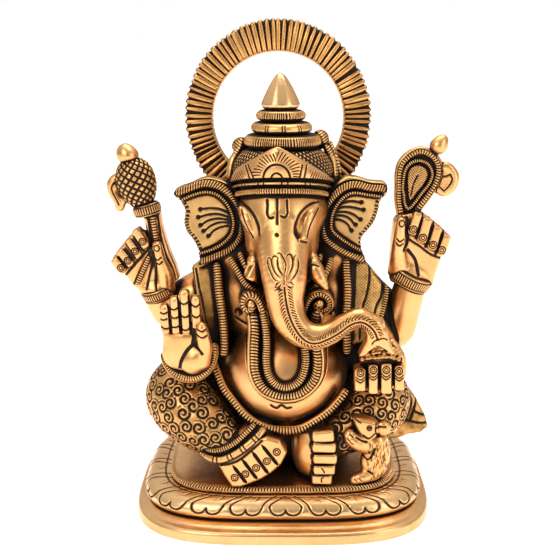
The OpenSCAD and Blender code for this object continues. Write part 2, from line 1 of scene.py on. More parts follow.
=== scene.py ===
import math
import bpy
import bmesh
import numpy as np
import openvdb
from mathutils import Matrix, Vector


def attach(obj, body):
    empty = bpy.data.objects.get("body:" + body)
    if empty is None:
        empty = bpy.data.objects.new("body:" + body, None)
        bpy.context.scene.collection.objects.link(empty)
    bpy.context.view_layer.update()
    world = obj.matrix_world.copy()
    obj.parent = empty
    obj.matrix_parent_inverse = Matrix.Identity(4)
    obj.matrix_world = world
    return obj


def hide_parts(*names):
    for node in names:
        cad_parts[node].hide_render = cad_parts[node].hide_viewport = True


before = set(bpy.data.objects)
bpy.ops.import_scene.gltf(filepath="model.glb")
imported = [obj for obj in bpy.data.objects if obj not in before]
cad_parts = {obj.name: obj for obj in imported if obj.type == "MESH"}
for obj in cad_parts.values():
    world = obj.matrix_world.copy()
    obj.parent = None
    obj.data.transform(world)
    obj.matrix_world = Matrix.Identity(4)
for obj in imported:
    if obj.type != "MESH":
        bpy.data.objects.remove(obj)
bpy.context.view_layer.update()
MM = 0.001
CAMERA_AT = (0, -0.480, 0.241)  # m
CAMERA_DOWN = 14.2  # degrees below level
ENCLOSURE_GRID = 0.8  # mm, the grid that the patina in hollows and the painted shade between parts are worked out on
ENCLOSURE_PAD = 14
COARSE = 1.0  # grid size against the finished one
BAND_SIDES = 22  # vertices round a ribbed band
SEAT_TOP = 23.2
PARTS = []


# ---------------------------------------------------------------- tools
def arr(x):
    """x as an array of floats."""
    return np.asarray(x, float)


def ease(a, b, x):
    """0 where x is below a, 1 above b, and smooth between."""
    t = np.clip((x - a) / (b - a), 0, 1)
    return t * t * (3 - 2 * t)


def turn(rx=0, ry=0, rz=0):
    """Rotation matrix from degrees about x, then y, then z."""
    a, b, c = (math.radians(t) for t in (rx, ry, rz))
    mx = arr([[1, 0, 0], [0, math.cos(a), -math.sin(a)], [0, math.sin(a), math.cos(a)]])
    my = arr([[math.cos(b), 0, math.sin(b)], [0, 1, 0], [-math.sin(b), 0, math.cos(b)]])
    mz = arr([[math.cos(c), -math.sin(c), 0], [math.sin(c), math.cos(c), 0], [0, 0, 1]])
    return mz @ my @ mx


def spline(pts, step=0.5, closed=False):
    """Catmull-Rom curve through the points, resampled at even steps."""
    p = arr(pts)
    if closed:
        q = np.vstack([p[-1], p, p[0], p[1]])
    else:
        q = np.vstack([2 * p[0] - p[1], p, 2 * p[-1] - p[-2]])
    t = np.linspace(0, 1, 24, endpoint=False)[:, None]
    out = []
    for i in range(len(q) - 3):
        a, b, c, d = q[i:i + 4]
        out.append(0.5 * (2 * b + (c - a) * t + (2 * a - 5 * b + 4 * c - d) * t ** 2
            + (3 * b - a - 3 * c + d) * t ** 3))
    out.append(q[-2][None])
    r = np.vstack(out)
    k = min(3, r.shape[1])
    run = np.r_[0, np.cumsum(np.linalg.norm(np.diff(r[:, :k], axis=0), axis=1))]
    n = max(2, int(round(run[-1] / step)) + 1)
    s = np.linspace(0, run[-1], n)
    return np.stack([np.interp(s, run, r[:, i]) for i in range(r.shape[1])], 1)


def line_dist(p, line):
    """Distance, arc length and side of points p to a 2D polyline."""
    a, b = line[:-1], line[1:]
    ab = b - a
    ll = (ab ** 2).sum(1) + 1e-9
    run = np.r_[0, np.cumsum(np.sqrt(ll))]
    dist = np.empty(len(p))
    s = np.empty(len(p))
    side = np.empty(len(p))
    for i in range(0, len(p), 20000):
        q = p[i:i + 20000]
        ap = q[:, None, :] - a[None]
        t = np.clip((ap * ab).sum(2) / ll, 0, 1)
        d = ap - t[..., None] * ab
        dd = (d ** 2).sum(2)
        j = dd.argmin(1)
        k = np.arange(len(q))
        dist[i:i + 20000] = np.sqrt(dd[k, j])
        s[i:i + 20000] = run[j] + t[k, j] * np.sqrt(ll[j])
        side[i:i + 20000] = np.sign(ab[j, 0] * ap[k, j, 1] - ab[j, 1] * ap[k, j, 0])
    return dist, s, side


def melt(d, e, k, cut):
    """The field d with the form e added to it, or cut from it, over a seam k wide."""
    sign = -1 if cut else 1
    e = sign * e
    if not k:
        return np.maximum(d, e) if cut else np.minimum(d, e)
    t = np.clip(0.5 + sign * 0.5 * (d - e) / k, 0, 1)
    return d * (1 - t) + e * t - sign * k * t * (1 - t)


class Clay:
    """A distance field that forms are smoothly added to and cut from, in mm."""

    def __init__(self, lo, hi, h=0.5):
        self.h = h * COARSE
        self.lo = arr(lo)
        n = np.ceil((arr(hi) - self.lo) / self.h).astype(int) + 1
        self.ax = [self.lo[i] + self.h * np.arange(n[i]) for i in range(3)]
        self.d = np.full(n, 9.0, np.float32)

    def work(self, fn, lo, hi, k, cut=False):
        """Adds or cuts the form fn(x, y, z), which lies between lo and hi."""
        pad = k + 2.0
        sl = []
        for i in range(3):
            a = max(0, int((lo[i] - pad - self.lo[i]) / self.h))
            b = min(len(self.ax[i]), int((hi[i] + pad - self.lo[i]) / self.h) + 2)
            if b <= a:
                return self
            sl.append(slice(a, b))
        sl = tuple(sl)
        x = self.ax[0][sl[0]][:, None, None]
        y = self.ax[1][sl[1]][None, :, None]
        z = self.ax[2][sl[2]][None, None, :]
        self.d[sl] = melt(self.d[sl], fn(x, y, z), k, cut)
        return self

    def cone(self, a, b, k=0):
        """A round limb between two (x, y, z, radius) ends."""
        a, b = arr(a), arr(b)
        r = max(a[3], b[3])
        ab = b[:3] - a[:3]
        ll = ab @ ab + 1e-9

        def fn(x, y, z):
            px, py, pz = x - a[0], y - a[1], z - a[2]
            t = np.clip((px * ab[0] + py * ab[1] + pz * ab[2]) / ll, 0, 1)
            return (np.sqrt((px - t * ab[0]) ** 2 + (py - t * ab[1]) ** 2 + (pz - t * ab[2]) ** 2)
                - (a[3] + t * (b[3] - a[3])))
        return self.work(fn, np.minimum(a[:3], b[:3]) - r, np.maximum(a[:3], b[:3]) + r, k)

    def chain(self, pts, k=0, cut=False, step=2.5, bend=True):
        """A limb through (x, y, z, radius) points, curved unless bend is off."""
        p = spline(pts, step) if bend and len(pts) > 2 else arr(pts)
        lo = (p[:, :3] - p[:, 3:]).min(0)
        hi = (p[:, :3] + p[:, 3:]).max(0)
        tmp = Clay.__new__(Clay)
        tmp.h, tmp.lo, tmp.ax = self.h, self.lo, self.ax
        tmp.d = np.full(self.d.shape, 9.0, np.float32)
        for i in range(len(p) - 1):
            tmp.cone(p[i], p[i + 1])
        sl = tuple(slice(max(0, int((lo[i] - k - 4 - self.lo[i]) / self.h)),
            min(len(self.ax[i]), int((hi[i] + k + 4 - self.lo[i]) / self.h) + 2)) for i in range(3))
        self.d[sl] = melt(self.d[sl], tmp.d[sl], k, cut)
        return self

    def egg(self, c, r, k=0, cut=False, rot=None):
        """An ellipsoid with that centre and half-sizes, turned by rot degrees."""
        c, r = arr(c), arr(r)
        m = turn(*rot).T if rot else np.eye(3)

        def fn(x, y, z):
            px, py, pz = x - c[0], y - c[1], z - c[2]
            if rot:
                qx = m[0, 0] * px + m[0, 1] * py + m[0, 2] * pz
                qy = m[1, 0] * px + m[1, 1] * py + m[1, 2] * pz
                qz = m[2, 0] * px + m[2, 1] * py + m[2, 2] * pz
            else:
                qx, qy, qz = px, py, pz
            k0 = np.sqrt((qx / r[0]) ** 2 + (qy / r[1]) ** 2 + (qz / r[2]) ** 2)
            k1 = np.sqrt((qx / r[0] ** 2) ** 2 + (qy / r[1] ** 2) ** 2 + (qz / r[2] ** 2) ** 2)
            return k0 * (k0 - 1) / (k1 + 1e-9)
        e = r.max() if rot else r
        return self.work(fn, c - e, c + e, k, cut)

    def box(self, c, half, r=0.5, k=0, cut=False, rot=None):
        """A block with that centre and half-sizes, its edges rounded by r."""
        c, half = arr(c), arr(half) - r
        m = turn(*rot).T if rot else np.eye(3)

        def fn(x, y, z):
            px, py, pz = x - c[0], y - c[1], z - c[2]
            q = [np.abs(m[i, 0] * px + m[i, 1] * py + m[i, 2] * pz) - half[i] for i in range(3)]
            o = np.sqrt(np.maximum(q[0], 0) ** 2 + np.maximum(q[1], 0) ** 2
                + np.maximum(q[2], 0) ** 2)
            return o + np.minimum(np.maximum(np.maximum(q[0], q[1]), q[2]), 0) - r
        e = np.full(3, np.linalg.norm(half) + r) if rot else half + r
        return self.work(fn, c - e, c + e, k, cut)

    def sheet(self, outline, mid, thick, r=1.0, k=0):
        """A plate with that front outline (x, z); mid(x, z) is its middle depth."""
        pts = arr(outline)
        x, z = np.meshgrid(self.ax[0], self.ax[2], indexing="ij")
        p = np.stack([x.ravel(), z.ravel()], 1)
        loop = np.vstack([pts, pts[:1]])
        d, _, _ = line_dist(p, loop)
        inside = np.zeros(len(p), bool)
        for a, b in zip(loop[:-1], loop[1:]):
            hit = (a[1] > p[:, 1]) != (b[1] > p[:, 1])
            xs = (b[0] - a[0]) * (p[:, 1] - a[1]) / (b[1] - a[1] + 1e-12) + a[0]
            inside ^= hit & (p[:, 0] < xs)
        d = np.where(inside, -d, d).reshape(x.shape) + r
        m = mid(x, z)
        y = self.ax[1][None, :, None]
        q0 = d[:, None, :]
        q1 = np.abs(y - m[:, None, :]) - thick + r
        e = (np.sqrt(np.maximum(q0, 0) ** 2 + np.maximum(q1, 0) ** 2)
            + np.minimum(np.maximum(q0, q1), 0) - r)
        self.d = melt(self.d, e, k, False).astype(np.float32)
        return self

    def floor(self, z0):
        """Cuts away all that is below z0."""
        self.d = np.maximum(self.d, (z0 - self.ax[2])[None, None, :]).astype(np.float32)
        return self

    def part(self, nodes, slot="brass", look="brass", smooth=1):
        """The skin of the form, as a piece that stands for those nodes."""
        g = openvdb.FloatGrid(9.0)
        self.d[0], self.d[-1] = 9, 9
        self.d[:, 0], self.d[:, -1] = 9, 9
        self.d[:, :, 0], self.d[:, :, -1] = 9, 9
        g.copyFromArray(np.ascontiguousarray(self.d))
        v, q = g.convertToQuads(0.0)
        v = v.astype(float) * self.h + self.lo
        return Part(nodes, v, q.astype(np.int64), slot, look).relax(smooth)


class Part:
    """A piece being made: vertices in mm, quads, and how deep each vertex is cut; on some pieces
    cut also holds painted shade.
    """
    thin = False
    caps = ()

    def __init__(self, nodes, v, f, slot="brass", look="brass"):
        self.nodes = nodes.split()
        self.name = "_and_".join(self.nodes) if len(self.nodes) > 1 else nodes + "_skin"
        self.v, self.f, self.slot, self.look = v, f, slot, look
        self.cut = np.zeros(len(v))
        if self.volume() < 0:
            self.f = self.f[:, ::-1].copy()
        PARTS.append(self)

    def volume(self):
        """Its sign says which way the faces look."""
        a, b, c, d = (self.v[self.f[:, i]] for i in range(4))
        return float((np.cross(b, c) * a).sum() + (np.cross(c, d) * a).sum())

    def relax(self, times=1):
        """Moves each vertex halfway to the middle of its neighbours."""
        n = len(self.v)
        i = np.concatenate([self.f[:, k] for k in range(4)])
        j = np.concatenate([self.f[:, (k + 1) % 4] for k in range(4)])
        ii, jj = np.r_[i, j], np.r_[j, i]
        cnt = np.maximum(np.bincount(ii, minlength=n), 1)
        for _ in range(times):
            avg = np.stack([np.bincount(ii, self.v[jj, k], n) for k in range(3)], 1) / cnt[:, None]
            self.v = self.v * 0.5 + avg * 0.5
        return self

    def normals(self):
        """The outward normal at each vertex."""
        a, b, c, d = (self.v[self.f[:, i]] for i in range(4))
        fn = np.cross(c - a, d - b)
        n = np.zeros_like(self.v)
        for k in range(3):
            for i in range(4):
                n[:, k] += np.bincount(self.f[:, i], fn[:, k], len(self.v))
        return n / (np.linalg.norm(n, axis=1)[:, None] + 1e-12)

    def press(self, g, depth, dark=1.0, n=None):
        """Sinks the surface where g is 1 and leaves patina there."""
        n = self.normals() if n is None else n
        self.v = self.v - n * (g * depth)[:, None]
        self.cut = np.maximum(self.cut, g * dark)
        return self

    def carve(self, lines, w=0.42, depth=0.4, front=-0.1, dark=1.0, taper=0):
        """Engraves curves given as (x, z) points into the front of the piece."""
        n = self.normals()
        g = np.zeros(len(self.v))
        ok = n[:, 1] < front
        for line in lines:
            p = (spline(line, 0.6) if len(line) > 2
                else spline([line[0], (arr(line[0]) + arr(line[1])) / 2, line[1]], 0.6))
            sel = ok & (self.v[:, 0] > p[:, 0].min() - 2) & (self.v[:, 0] < p[:, 0].max() + 2)
            sel &= (self.v[:, 2] > p[:, 1].min() - 2) & (self.v[:, 2] < p[:, 1].max() + 2)
            idx = np.nonzero(sel)[0]
            if len(idx) == 0:
                continue
            d, s, _ = line_dist(self.v[idx][:, [0, 2]], p)
            ww = w
            if taper:
                run = np.linalg.norm(np.diff(p, axis=0), axis=1).sum()
                ww = w * (0.35 + 0.65 * ease(0, taper, np.minimum(s, run - s)))
            g[idx] = np.maximum(g[idx], 1 - ease(ww * 0.55, ww * 1.45, d))
        return self.press(g, depth, dark, n)

    def rings(self, spots, r, w=0.3, depth=0.3):
        """Engraves circles round (x, z) spots into the front of the piece."""
        n = self.normals()
        g = np.zeros(len(self.v))
        ok = n[:, 1] < -0.1
        for x, z in spots:
            d = np.hypot(self.v[:, 0] - x, self.v[:, 2] - z)
            g = np.maximum(g, ok * (1 - ease(w * 0.6, w * 1.5, np.abs(d - r))))
        return self.press(g, depth, 1.0, n)

    def spirals(self, gap, r, seed, ok, pitch=1.9, hand=1, depth=0.5):
        """Covers the chosen vertices with curled engraved scrolls."""
        rng = np.random.default_rng(seed)
        n = self.normals()
        idx = np.nonzero(ok(self.v, n))[0]
        rng.shuffle(idx)
        chosen = np.zeros((0, 3))
        keep = []
        for i in idx[:14000]:
            p = self.v[i]
            if len(chosen) == 0 or ((chosen - p) ** 2).sum(1).min() > gap * gap:
                chosen = np.vstack([chosen, p])
                keep.append(i)
        g = np.zeros(len(self.v))
        best = np.full(len(self.v), 99.0)
        for i in keep:
            c, nn = self.v[i], n[i]
            d = self.v - c
            sel = np.nonzero(((d ** 2).sum(1) < (r * 1.25) ** 2) & (n @ nn > 0.2))[0]
            up = arr([0, 0, 1.0]) - nn * nn[2]
            up /= np.linalg.norm(up) + 1e-9
            rt = np.cross(up, nn)
            x, y = d[sel] @ rt, d[sel] @ up
            rho = np.hypot(x, y)
            th = np.arctan2(y, x) * hand + rng.uniform(-0.9, 0.9) - 0.6
            size = rng.uniform(0.88, 1.1)
            fr = (rho / (pitch * size) - th / (2 * math.pi)) % 1.0
            a = 1 - ease(0.19, 0.36, np.abs(fr - 0.5))
            a *= (1 - ease(r * size * 0.92, r * size, rho)) * ease(0.35, 0.7, rho)
            own = rho < best[sel]
            g[sel[own]] = a[own]
            best[sel[own]] = rho[own]
        return self.press(g, depth, 1.0, n)

    def hatch(self, ok, a1, a2, pitch=1.1, depth=0.25, w=0.22, dark=0.8):
        """Two families of fine parallel cuts, at the angles a1 and a2 (None for one family)."""
        n = self.normals()
        m = ok(self.v, n).astype(float)
        g = np.zeros(len(self.v))
        for a in (a1, a2):
            if a is None:
                continue
            c, s = math.cos(math.radians(a)), math.sin(math.radians(a))
            f = ((self.v[:, 0] * c + self.v[:, 2] * s) / pitch) % 1.0
            g = np.maximum(g, 1 - ease(w * 0.6, w * 1.5, np.minimum(f, 1 - f) * pitch))
        return self.press(g * m, depth, dark, n)


def moat(p, path, w, depth=0.3, soft=0.5):
    """Sinks and darkens the front of a piece along a path in x, z."""
    q = spline([(a[0], a[-1]) for a in path], 0.6)
    n = p.normals()
    xz = p.v[:, [0, 2]]
    near = ((xz > q.min(0) - w - 2) & (xz < q.max(0) + w + 2)).all(1)
    idx = np.nonzero((n[:, 1] < 0.3) & near)[0]
    g = np.zeros(len(p.v))
    d, _, _ = line_dist(p.v[idx][:, [0, 2]], q)
    g[idx] = 1 - ease(w - soft, w + soft, d)
    return p.press(g, depth, 1.0, n)


def bar(c, a, b, w, y, t=4.6, r=1.2, k=0.0, grow=0.5):
    """A flat finger laid between the points a and b, given as (x, z)."""
    a, b = arr(a), arr(b)
    d = a - b
    m = (a + b) / 2
    c.box((m[0], y, m[1]), (w + 0.3, t, np.linalg.norm(d) / 2 + grow), r, k,
        rot=(0, math.degrees(math.atan2(d[0], d[1])), 0))


def nails(p, spots, r):
    """Finger or toe nails, each two rings."""
    p.rings(spots, r, 0.3, 0.28)
    p.rings(spots, r * 0.48, 0.24, 0.2)


def groove(x, w0, w1):
    """1 at whole numbers of x, falling to 0 away from them."""
    f = np.abs(x - np.round(x))
    return 1 - ease(w0, w1, f)


def tube_faces(n, m, closed_n, closed_m):
    """Quads of an n by m grid of vertices, closed either way or not."""
    i = np.arange(n if closed_n else n - 1)[:, None]
    j = np.arange(m if closed_m else m - 1)[None, :]
    i2, j2 = (i + 1) % n, (j + 1) % m
    return np.stack([(i * m + j).ravel(), (i * m + j2).ravel(), (i2 * m + j2).ravel(),
        (i2 * m + j).ravel()], 1)


def band(pts, w, d, pat="rib", pitch=1.1, amp=0.45, closed=False, up=(0, -1, 0.15), back=0.8):
    """Verts, quads and cut of a rounded strip along a curve, cut across with ribs.

    w is its half-width, d its height, up the way it faces and back its depth behind
    the curve, as a share of d or as a function of the curve's points in mm.
    """
    step = pitch / (5.0 if COARSE > 1 else 7.0)
    p = spline(pts, step, closed)
    if closed:
        p = p[:-1]
        tan = np.roll(p, -1, 0) - np.roll(p, 1, 0)
    else:
        tan = np.gradient(p, axis=0)
    tan /= np.linalg.norm(tan, axis=1)[:, None] + 1e-12
    u = np.broadcast_to(arr(up), p.shape) if np.ndim(up) == 1 else up(p)
    u = u - (u * tan).sum(1)[:, None] * tan
    u /= np.linalg.norm(u, axis=1)[:, None] + 1e-12
    sd = np.cross(tan, u)
    run = np.r_[0, np.cumsum(np.linalg.norm(np.diff(p, axis=0), axis=1))]
    total = run[-1]
    m = BAND_SIDES
    ph = np.arange(m) * 2 * math.pi / m
    c, s = np.cos(ph)[None, :], np.sin(ph)[None, :]
    c = np.sign(c) * np.abs(c) ** 0.8
    e = np.ones(len(p))
    if not closed:
        q = np.minimum(run, total - run)
        e = np.sqrt(np.clip(1 - (1 - np.clip(q / w, 0, 1)) ** 2, 0, 1))
    st = run[:, None]
    if pat == "rib":
        g = groove(st / pitch, 0.14, 0.33) * ease(-0.35, 0.0, s)
    elif pat in ("inner", "outer"):
        k = c if pat == "inner" else -c
        g = (groove(st / pitch + 0.55 * (1 - k ** 2), 0.13, 0.32) * ease(-0.1, 0.2, s)
            * (1 - ease(0.22, 0.42, k)))
        g = np.maximum(g, 0.8 * (1 - ease(0.06, 0.2, np.abs(k - 0.42))) * (s > 0))
    elif pat == "mid":
        g = groove(st / pitch, 0.13, 0.32) * (1 - ease(0.42, 0.6, np.abs(c))) * (s > 0)
        g = np.maximum(g, 0.8 * (1 - ease(0.05, 0.18, np.abs(np.abs(c) - 0.62))) * (s > 0))
    elif pat == "lean":
        g = groove(st / pitch + 0.5 * c, 0.14, 0.33) * ease(-0.2, 0.1, s)
    else:
        f = st % (pitch * 6)
        g = np.maximum(1 - ease(0.2, 0.45, np.abs(f - pitch * 2.4)),
            1 - ease(0.2, 0.45, np.abs(f - pitch * 3.9)))
        g = g * ease(-0.3, 0.1, s)
    if callable(back):
        back = np.clip(back(p) / d, 0.8, 18 / d)
        back = np.convolve(np.pad(back, 20, mode="edge"), np.ones(41) / 41, "valid")[:, None]
    h = np.where(s > 0, d, d * back) * s - g * amp * ease(-0.3, 0.5, s)
    x = w * c * (1 - 0.06 * g)
    v = (p[:, None, :] + (x * e[:, None])[..., None] * sd[:, None, :] + (h * e[:, None])[..., None]
        * u[:, None, :])
    f = tube_faces(len(p), m, closed, True)
    v = v.reshape(-1, 3)
    g = (g * np.ones_like(h)).ravel()
    return v, f, g


def down_to(p):
    """How far behind a point the front of a part lies, so that a trim can be rooted in it."""
    across, high, size = 140, 200, 1.5

    def cell(q):
        i = np.round(q[:, 0] / size).astype(int) + across // 2
        j = np.round(q[:, 2] / size).astype(int)
        return np.clip(i, 0, across - 1), np.clip(j, 0, high - 1)
    grid = np.full((across, high), 20.0)
    np.minimum.at(grid, cell(p.v), p.v[:, 1])
    return lambda q: grid[cell(q)] - q[:, 1] + 1.2


def merge(*items):
    """Several (verts, quads, cut) items as one."""
    v, f, g, n = [], [], [], 0
    for a, b, c in items:
        v.append(a)
        f.append(b + n)
        g.append(c)
        n += len(a)
    return np.vstack(v), np.vstack(f), np.concatenate(g)


def flip_out(item):
    """The item with its faces turned so that they look outwards."""
    v, f, g = item
    a, b, c, d = (v[f[:, i]] for i in range(4))
    vol = (np.cross(b, c) * a).sum() + (np.cross(c, d) * a).sum()
    return (v, f[:, ::-1].copy(), g) if vol < 0 else item


def strip(node, *items):
    """A piece made of ribbed bands."""
    v, f, g = merge(*[flip_out(i) for i in items])
    p = Part(node, v, f, "engraved_brass", "cut")
    p.cut, p.thin = g, True
    return p


def lathe(profile, n, pat=None, at=(0, 0, 0), rot=None, closed=False, amp=0.5, scale=(1, 1)):
    """Revolves (radius, height) points; pat(angle, run, points) gives the cut."""
    pr = arr(profile)
    th = np.arange(n) * 2 * math.pi / n
    run = np.r_[0, np.cumsum(np.linalg.norm(np.diff(pr, axis=0), axis=1))]
    g = (np.zeros((n, len(pr))) if pat is None else pat(th[:, None], run[None, :], pr)
        * np.ones((n, len(pr))))
    tan = np.gradient(pr, axis=0)
    tan /= np.linalg.norm(tan, axis=1)[:, None] + 1e-9
    nr, nz = tan[:, 1], -tan[:, 0]
    r = pr[:, 0][None] - g * amp * nr
    z = pr[:, 1][None] - g * amp * nz
    r = np.maximum(r, 0)
    v = np.stack([r * np.cos(th)[:, None] * scale[0], r * np.sin(th)[:, None] * scale[1], z],
        -1).reshape(-1, 3)
    if rot:
        v = v @ turn(*rot).T
    return v + arr(at), tube_faces(n, len(pr), True, closed), g.ravel()


def oval_ring(a, b, power, n):
    """Points at even steps round a superellipse, starting at the front."""
    t = np.linspace(0, 2 * math.pi, 4001)
    x = a * np.sign(np.sin(t)) * np.abs(np.sin(t)) ** (2 / power)
    y = -b * np.sign(np.cos(t)) * np.abs(np.cos(t)) ** (2 / power)
    run = np.r_[0, np.cumsum(np.hypot(np.diff(x), np.diff(y)))]
    s = np.linspace(0, run[-1], n, endpoint=False)
    return np.interp(s, run, x), np.interp(s, run, y), s, run[-1]


def loft(profile, n, power=3.4, pat=None, amp=0.4):
    """Stacks superellipse rings (half-width, half-depth, z); pat gives the cut."""
    pr = arr(profile)
    rows = []
    for a, b, z in pr[:, :3]:
        x, y, _, _ = oval_ring(max(a, 0.01), max(b, 0.01), power, n)
        rows.append(np.stack([x, y, np.full(n, z)], 1))
    v = np.stack(rows, 1)
    g = np.zeros(v.shape[:2])
    if pat is not None:
        _, _, s, total = oval_ring(pr[:, 0].max(), pr[:, 1].max(), power, n)
        g = pat(s, total, v, pr)
        tr = np.roll(v, -1, 0) - np.roll(v, 1, 0)
        tp = np.gradient(v, axis=1)
        nn = np.cross(tr, tp)
        nn /= np.linalg.norm(nn, axis=2)[..., None] + 1e-9
        v = v - nn * (g * amp)[..., None]
    return v.reshape(-1, 3), tube_faces(n, len(pr), True, True), g.ravel()


# ---------------------------------------------------------------- base
def make_base():
    """The plinth, the lotus tier with its petals, and the seat plate."""
    edge = [(-0.6, 0), (0, 0.7), (0, 2.2), (0, 4.4), (0.15, 5.2), (0.6, 5.9), (1.5, 6.35),
        (2.6, 6.5), (3.4, 6.75), (4.2, 7.3), (5.0, 7.75), (6.2, 8.1), (8, 8.3), (10, 8.3)]
    rows = [(78 - max(o, 0) - (0.6 if o < 0 else 0),
        63.6 - max(o, 0) * 1.15 - (0.6 if o < 0 else 0), h) for o, h in edge]
    rows += [(66, 49.6, 8.3), (66, 49.6, 4.6), (74, 59.6, 4.4), (74, 59.6, 0.0)]
    v, f, g = loft(rows, 420)
    p = Part("base_plinth", v, f, "brass", "base")
    p.cut = np.full(len(v), 0.12)

    key = arr([(71.4, 53.2, 8.3), (73.2, 54.6, 9.5), (74, 55.6, 11.4), (73.8, 55.6, 13.4),
        (72.6, 54.8, 15.3), (70.2, 53.2, 17.1), (66.6, 51, 18.5), (62.6, 48.6, 19.2),
        (58, 45.6, 19.3)])
    ov = spline(key, 0.42)
    k = len(ov)
    run = np.r_[0, np.cumsum(np.hypot(np.diff(ov[:, 1]), np.diff(ov[:, 2])))]
    rows = [tuple(r) for r in ov] + [(48, 36, 19.2), (48, 36, 16.2), (60, 45, 15.4), (61, 46, 8.3)]

    count, rise = 22, 16.2  # petals, and the height of one along the slope

    def petals(s, total, v, pr):
        pitch = total / count
        sc = (s - 1.4 + total / 2) % total - total / 2
        g = np.zeros(v.shape[:2])
        t = np.r_[run / rise, np.full(len(pr) - k, 3.0)]
        half = pitch / 2
        lobe = spline([(0.0, 0.47), (0.06, 0.39), (0.22, 0.31), (0.46, 0.30), (0.68, 0.39),
            (0.80, 0.53), (0.80, 0.66), (0.74, 0.84), (0.72, 1.02)], 0.03)
        vee = spline([(-0.42, 1.0), (-0.2, 0.84), (0.0, 0.72), (0.2, 0.84), (0.42, 1.0)], 0.03)
        tick = spline([(-0.02, 0.93), (0.05, 0.88), (0.12, 0.80)], 0.03)
        size = arr([half, rise])
        for c in range(-12, 13):
            idx = np.nonzero(np.abs(sc / pitch - c) < 1.35)[0]
            if len(idx) == 0:
                continue
            x = sc[idx] / half - c * 2
            sh = 0.74 * np.clip((t - 0.60) / 0.40, 0, 1.2) ** 1.25
            lean = np.where(c < 0, 1.0, -1.0) * np.ones_like(x) if c else -np.sign(x)
            xx = x[:, None] - lean[:, None] * sh[None, :]
            tt = np.broadcast_to(t, xx.shape)
            own = (np.abs(xx) < 1.0) & (tt < 1.04)
            d1 = line_dist(np.stack([np.abs(xx), tt], -1).reshape(-1, 2) * size,
                lobe * size)[0].reshape(xx.shape)
            q = np.stack([xx, tt], -1).reshape(-1, 2) * size
            d2 = line_dist(q, vee * size)[0].reshape(xx.shape)
            d3 = line_dist(q, tick * size)[0].reshape(xx.shape)
            a = 1 - ease(0.36, 0.74, d1)
            dash = 0.5 + 0.5 * np.sin(tt * 75)
            a = np.maximum(a, 0.5 * (1 - ease(0.16, 0.42, d2)) * dash)
            a = np.maximum(a, 0.8 * (1 - ease(0.2, 0.5, d3))) * own
            g[idx] = np.maximum(g[idx], a)
        g[:, 0] = 0.8
        rim = 1 - ease(0.2, 0.55, np.abs(t * rise - 15.2))
        g = np.maximum(g, 0.6 * rim[None, :])
        g[:, k:] = 0.3
        return g
    v, f, g = loft(rows, int(980 / COARSE), pat=petals, amp=0.42)
    p = Part("lotus_tier", v, f, "brass", "base")
    p.cut = g

    rows = [(58.4, 45.6, 19.0), (59.2, 46.3, 19.4), (59.8, 46.8, 20.0), (60.0, 47.1, 20.7),
        (60.3, 47.4, 21.3), (60.2, 47.4, 22.0), (59.7, 46.9, 22.6), (58.8, 46.2, 23.0),
        (57.6, 45.2, SEAT_TOP),
        (56, 43.8, SEAT_TOP), (54, 42, SEAT_TOP), (50, 38.4, SEAT_TOP), (45, 34, SEAT_TOP),
        (38, 28, SEAT_TOP), (30, 22, SEAT_TOP), (20, 15, SEAT_TOP), (12, 9, SEAT_TOP),
        (0.02, 0.02, SEAT_TOP), (0.02, 0.02, 19.2), (30, 22, 19.2)]

    def mill(s, total, _, pr):
        n = round(total / 1.55)
        a = groove(s / total * n, 0.17, 0.36)[:, None]
        z = pr[:, 2]
        m = ease(20.7, 21.2, z) * (1 - ease(22.9, 23.15, z)) * (pr[:, 0] > 58)
        g = a * m[None, :]
        g[:, :1] = np.maximum(g[:, :1], 0.8)
        return g
    v, f, g = loft(rows, int(290 * 6 / COARSE), power=4, pat=mill, amp=0.55)
    p = Part("seat_plate", v, f, "brass", "base")
    # Painted shade on the seat top under the figure, fading out towards the rim.
    top = (v[:, 2] > 23.0) * (1 - ease(0.72, 1.0,
        np.maximum(np.abs(v[:, 0]) / 60, (np.abs(v[:, 1]) / 47))))
    p.cut = np.maximum(g, 0.46 * top)


# ---------------------------------------------------------------- crown and halo
CX, CY = -1.2, -11.0  # the axis of the crown
HALO_AT = (-2.4, 14, 203)


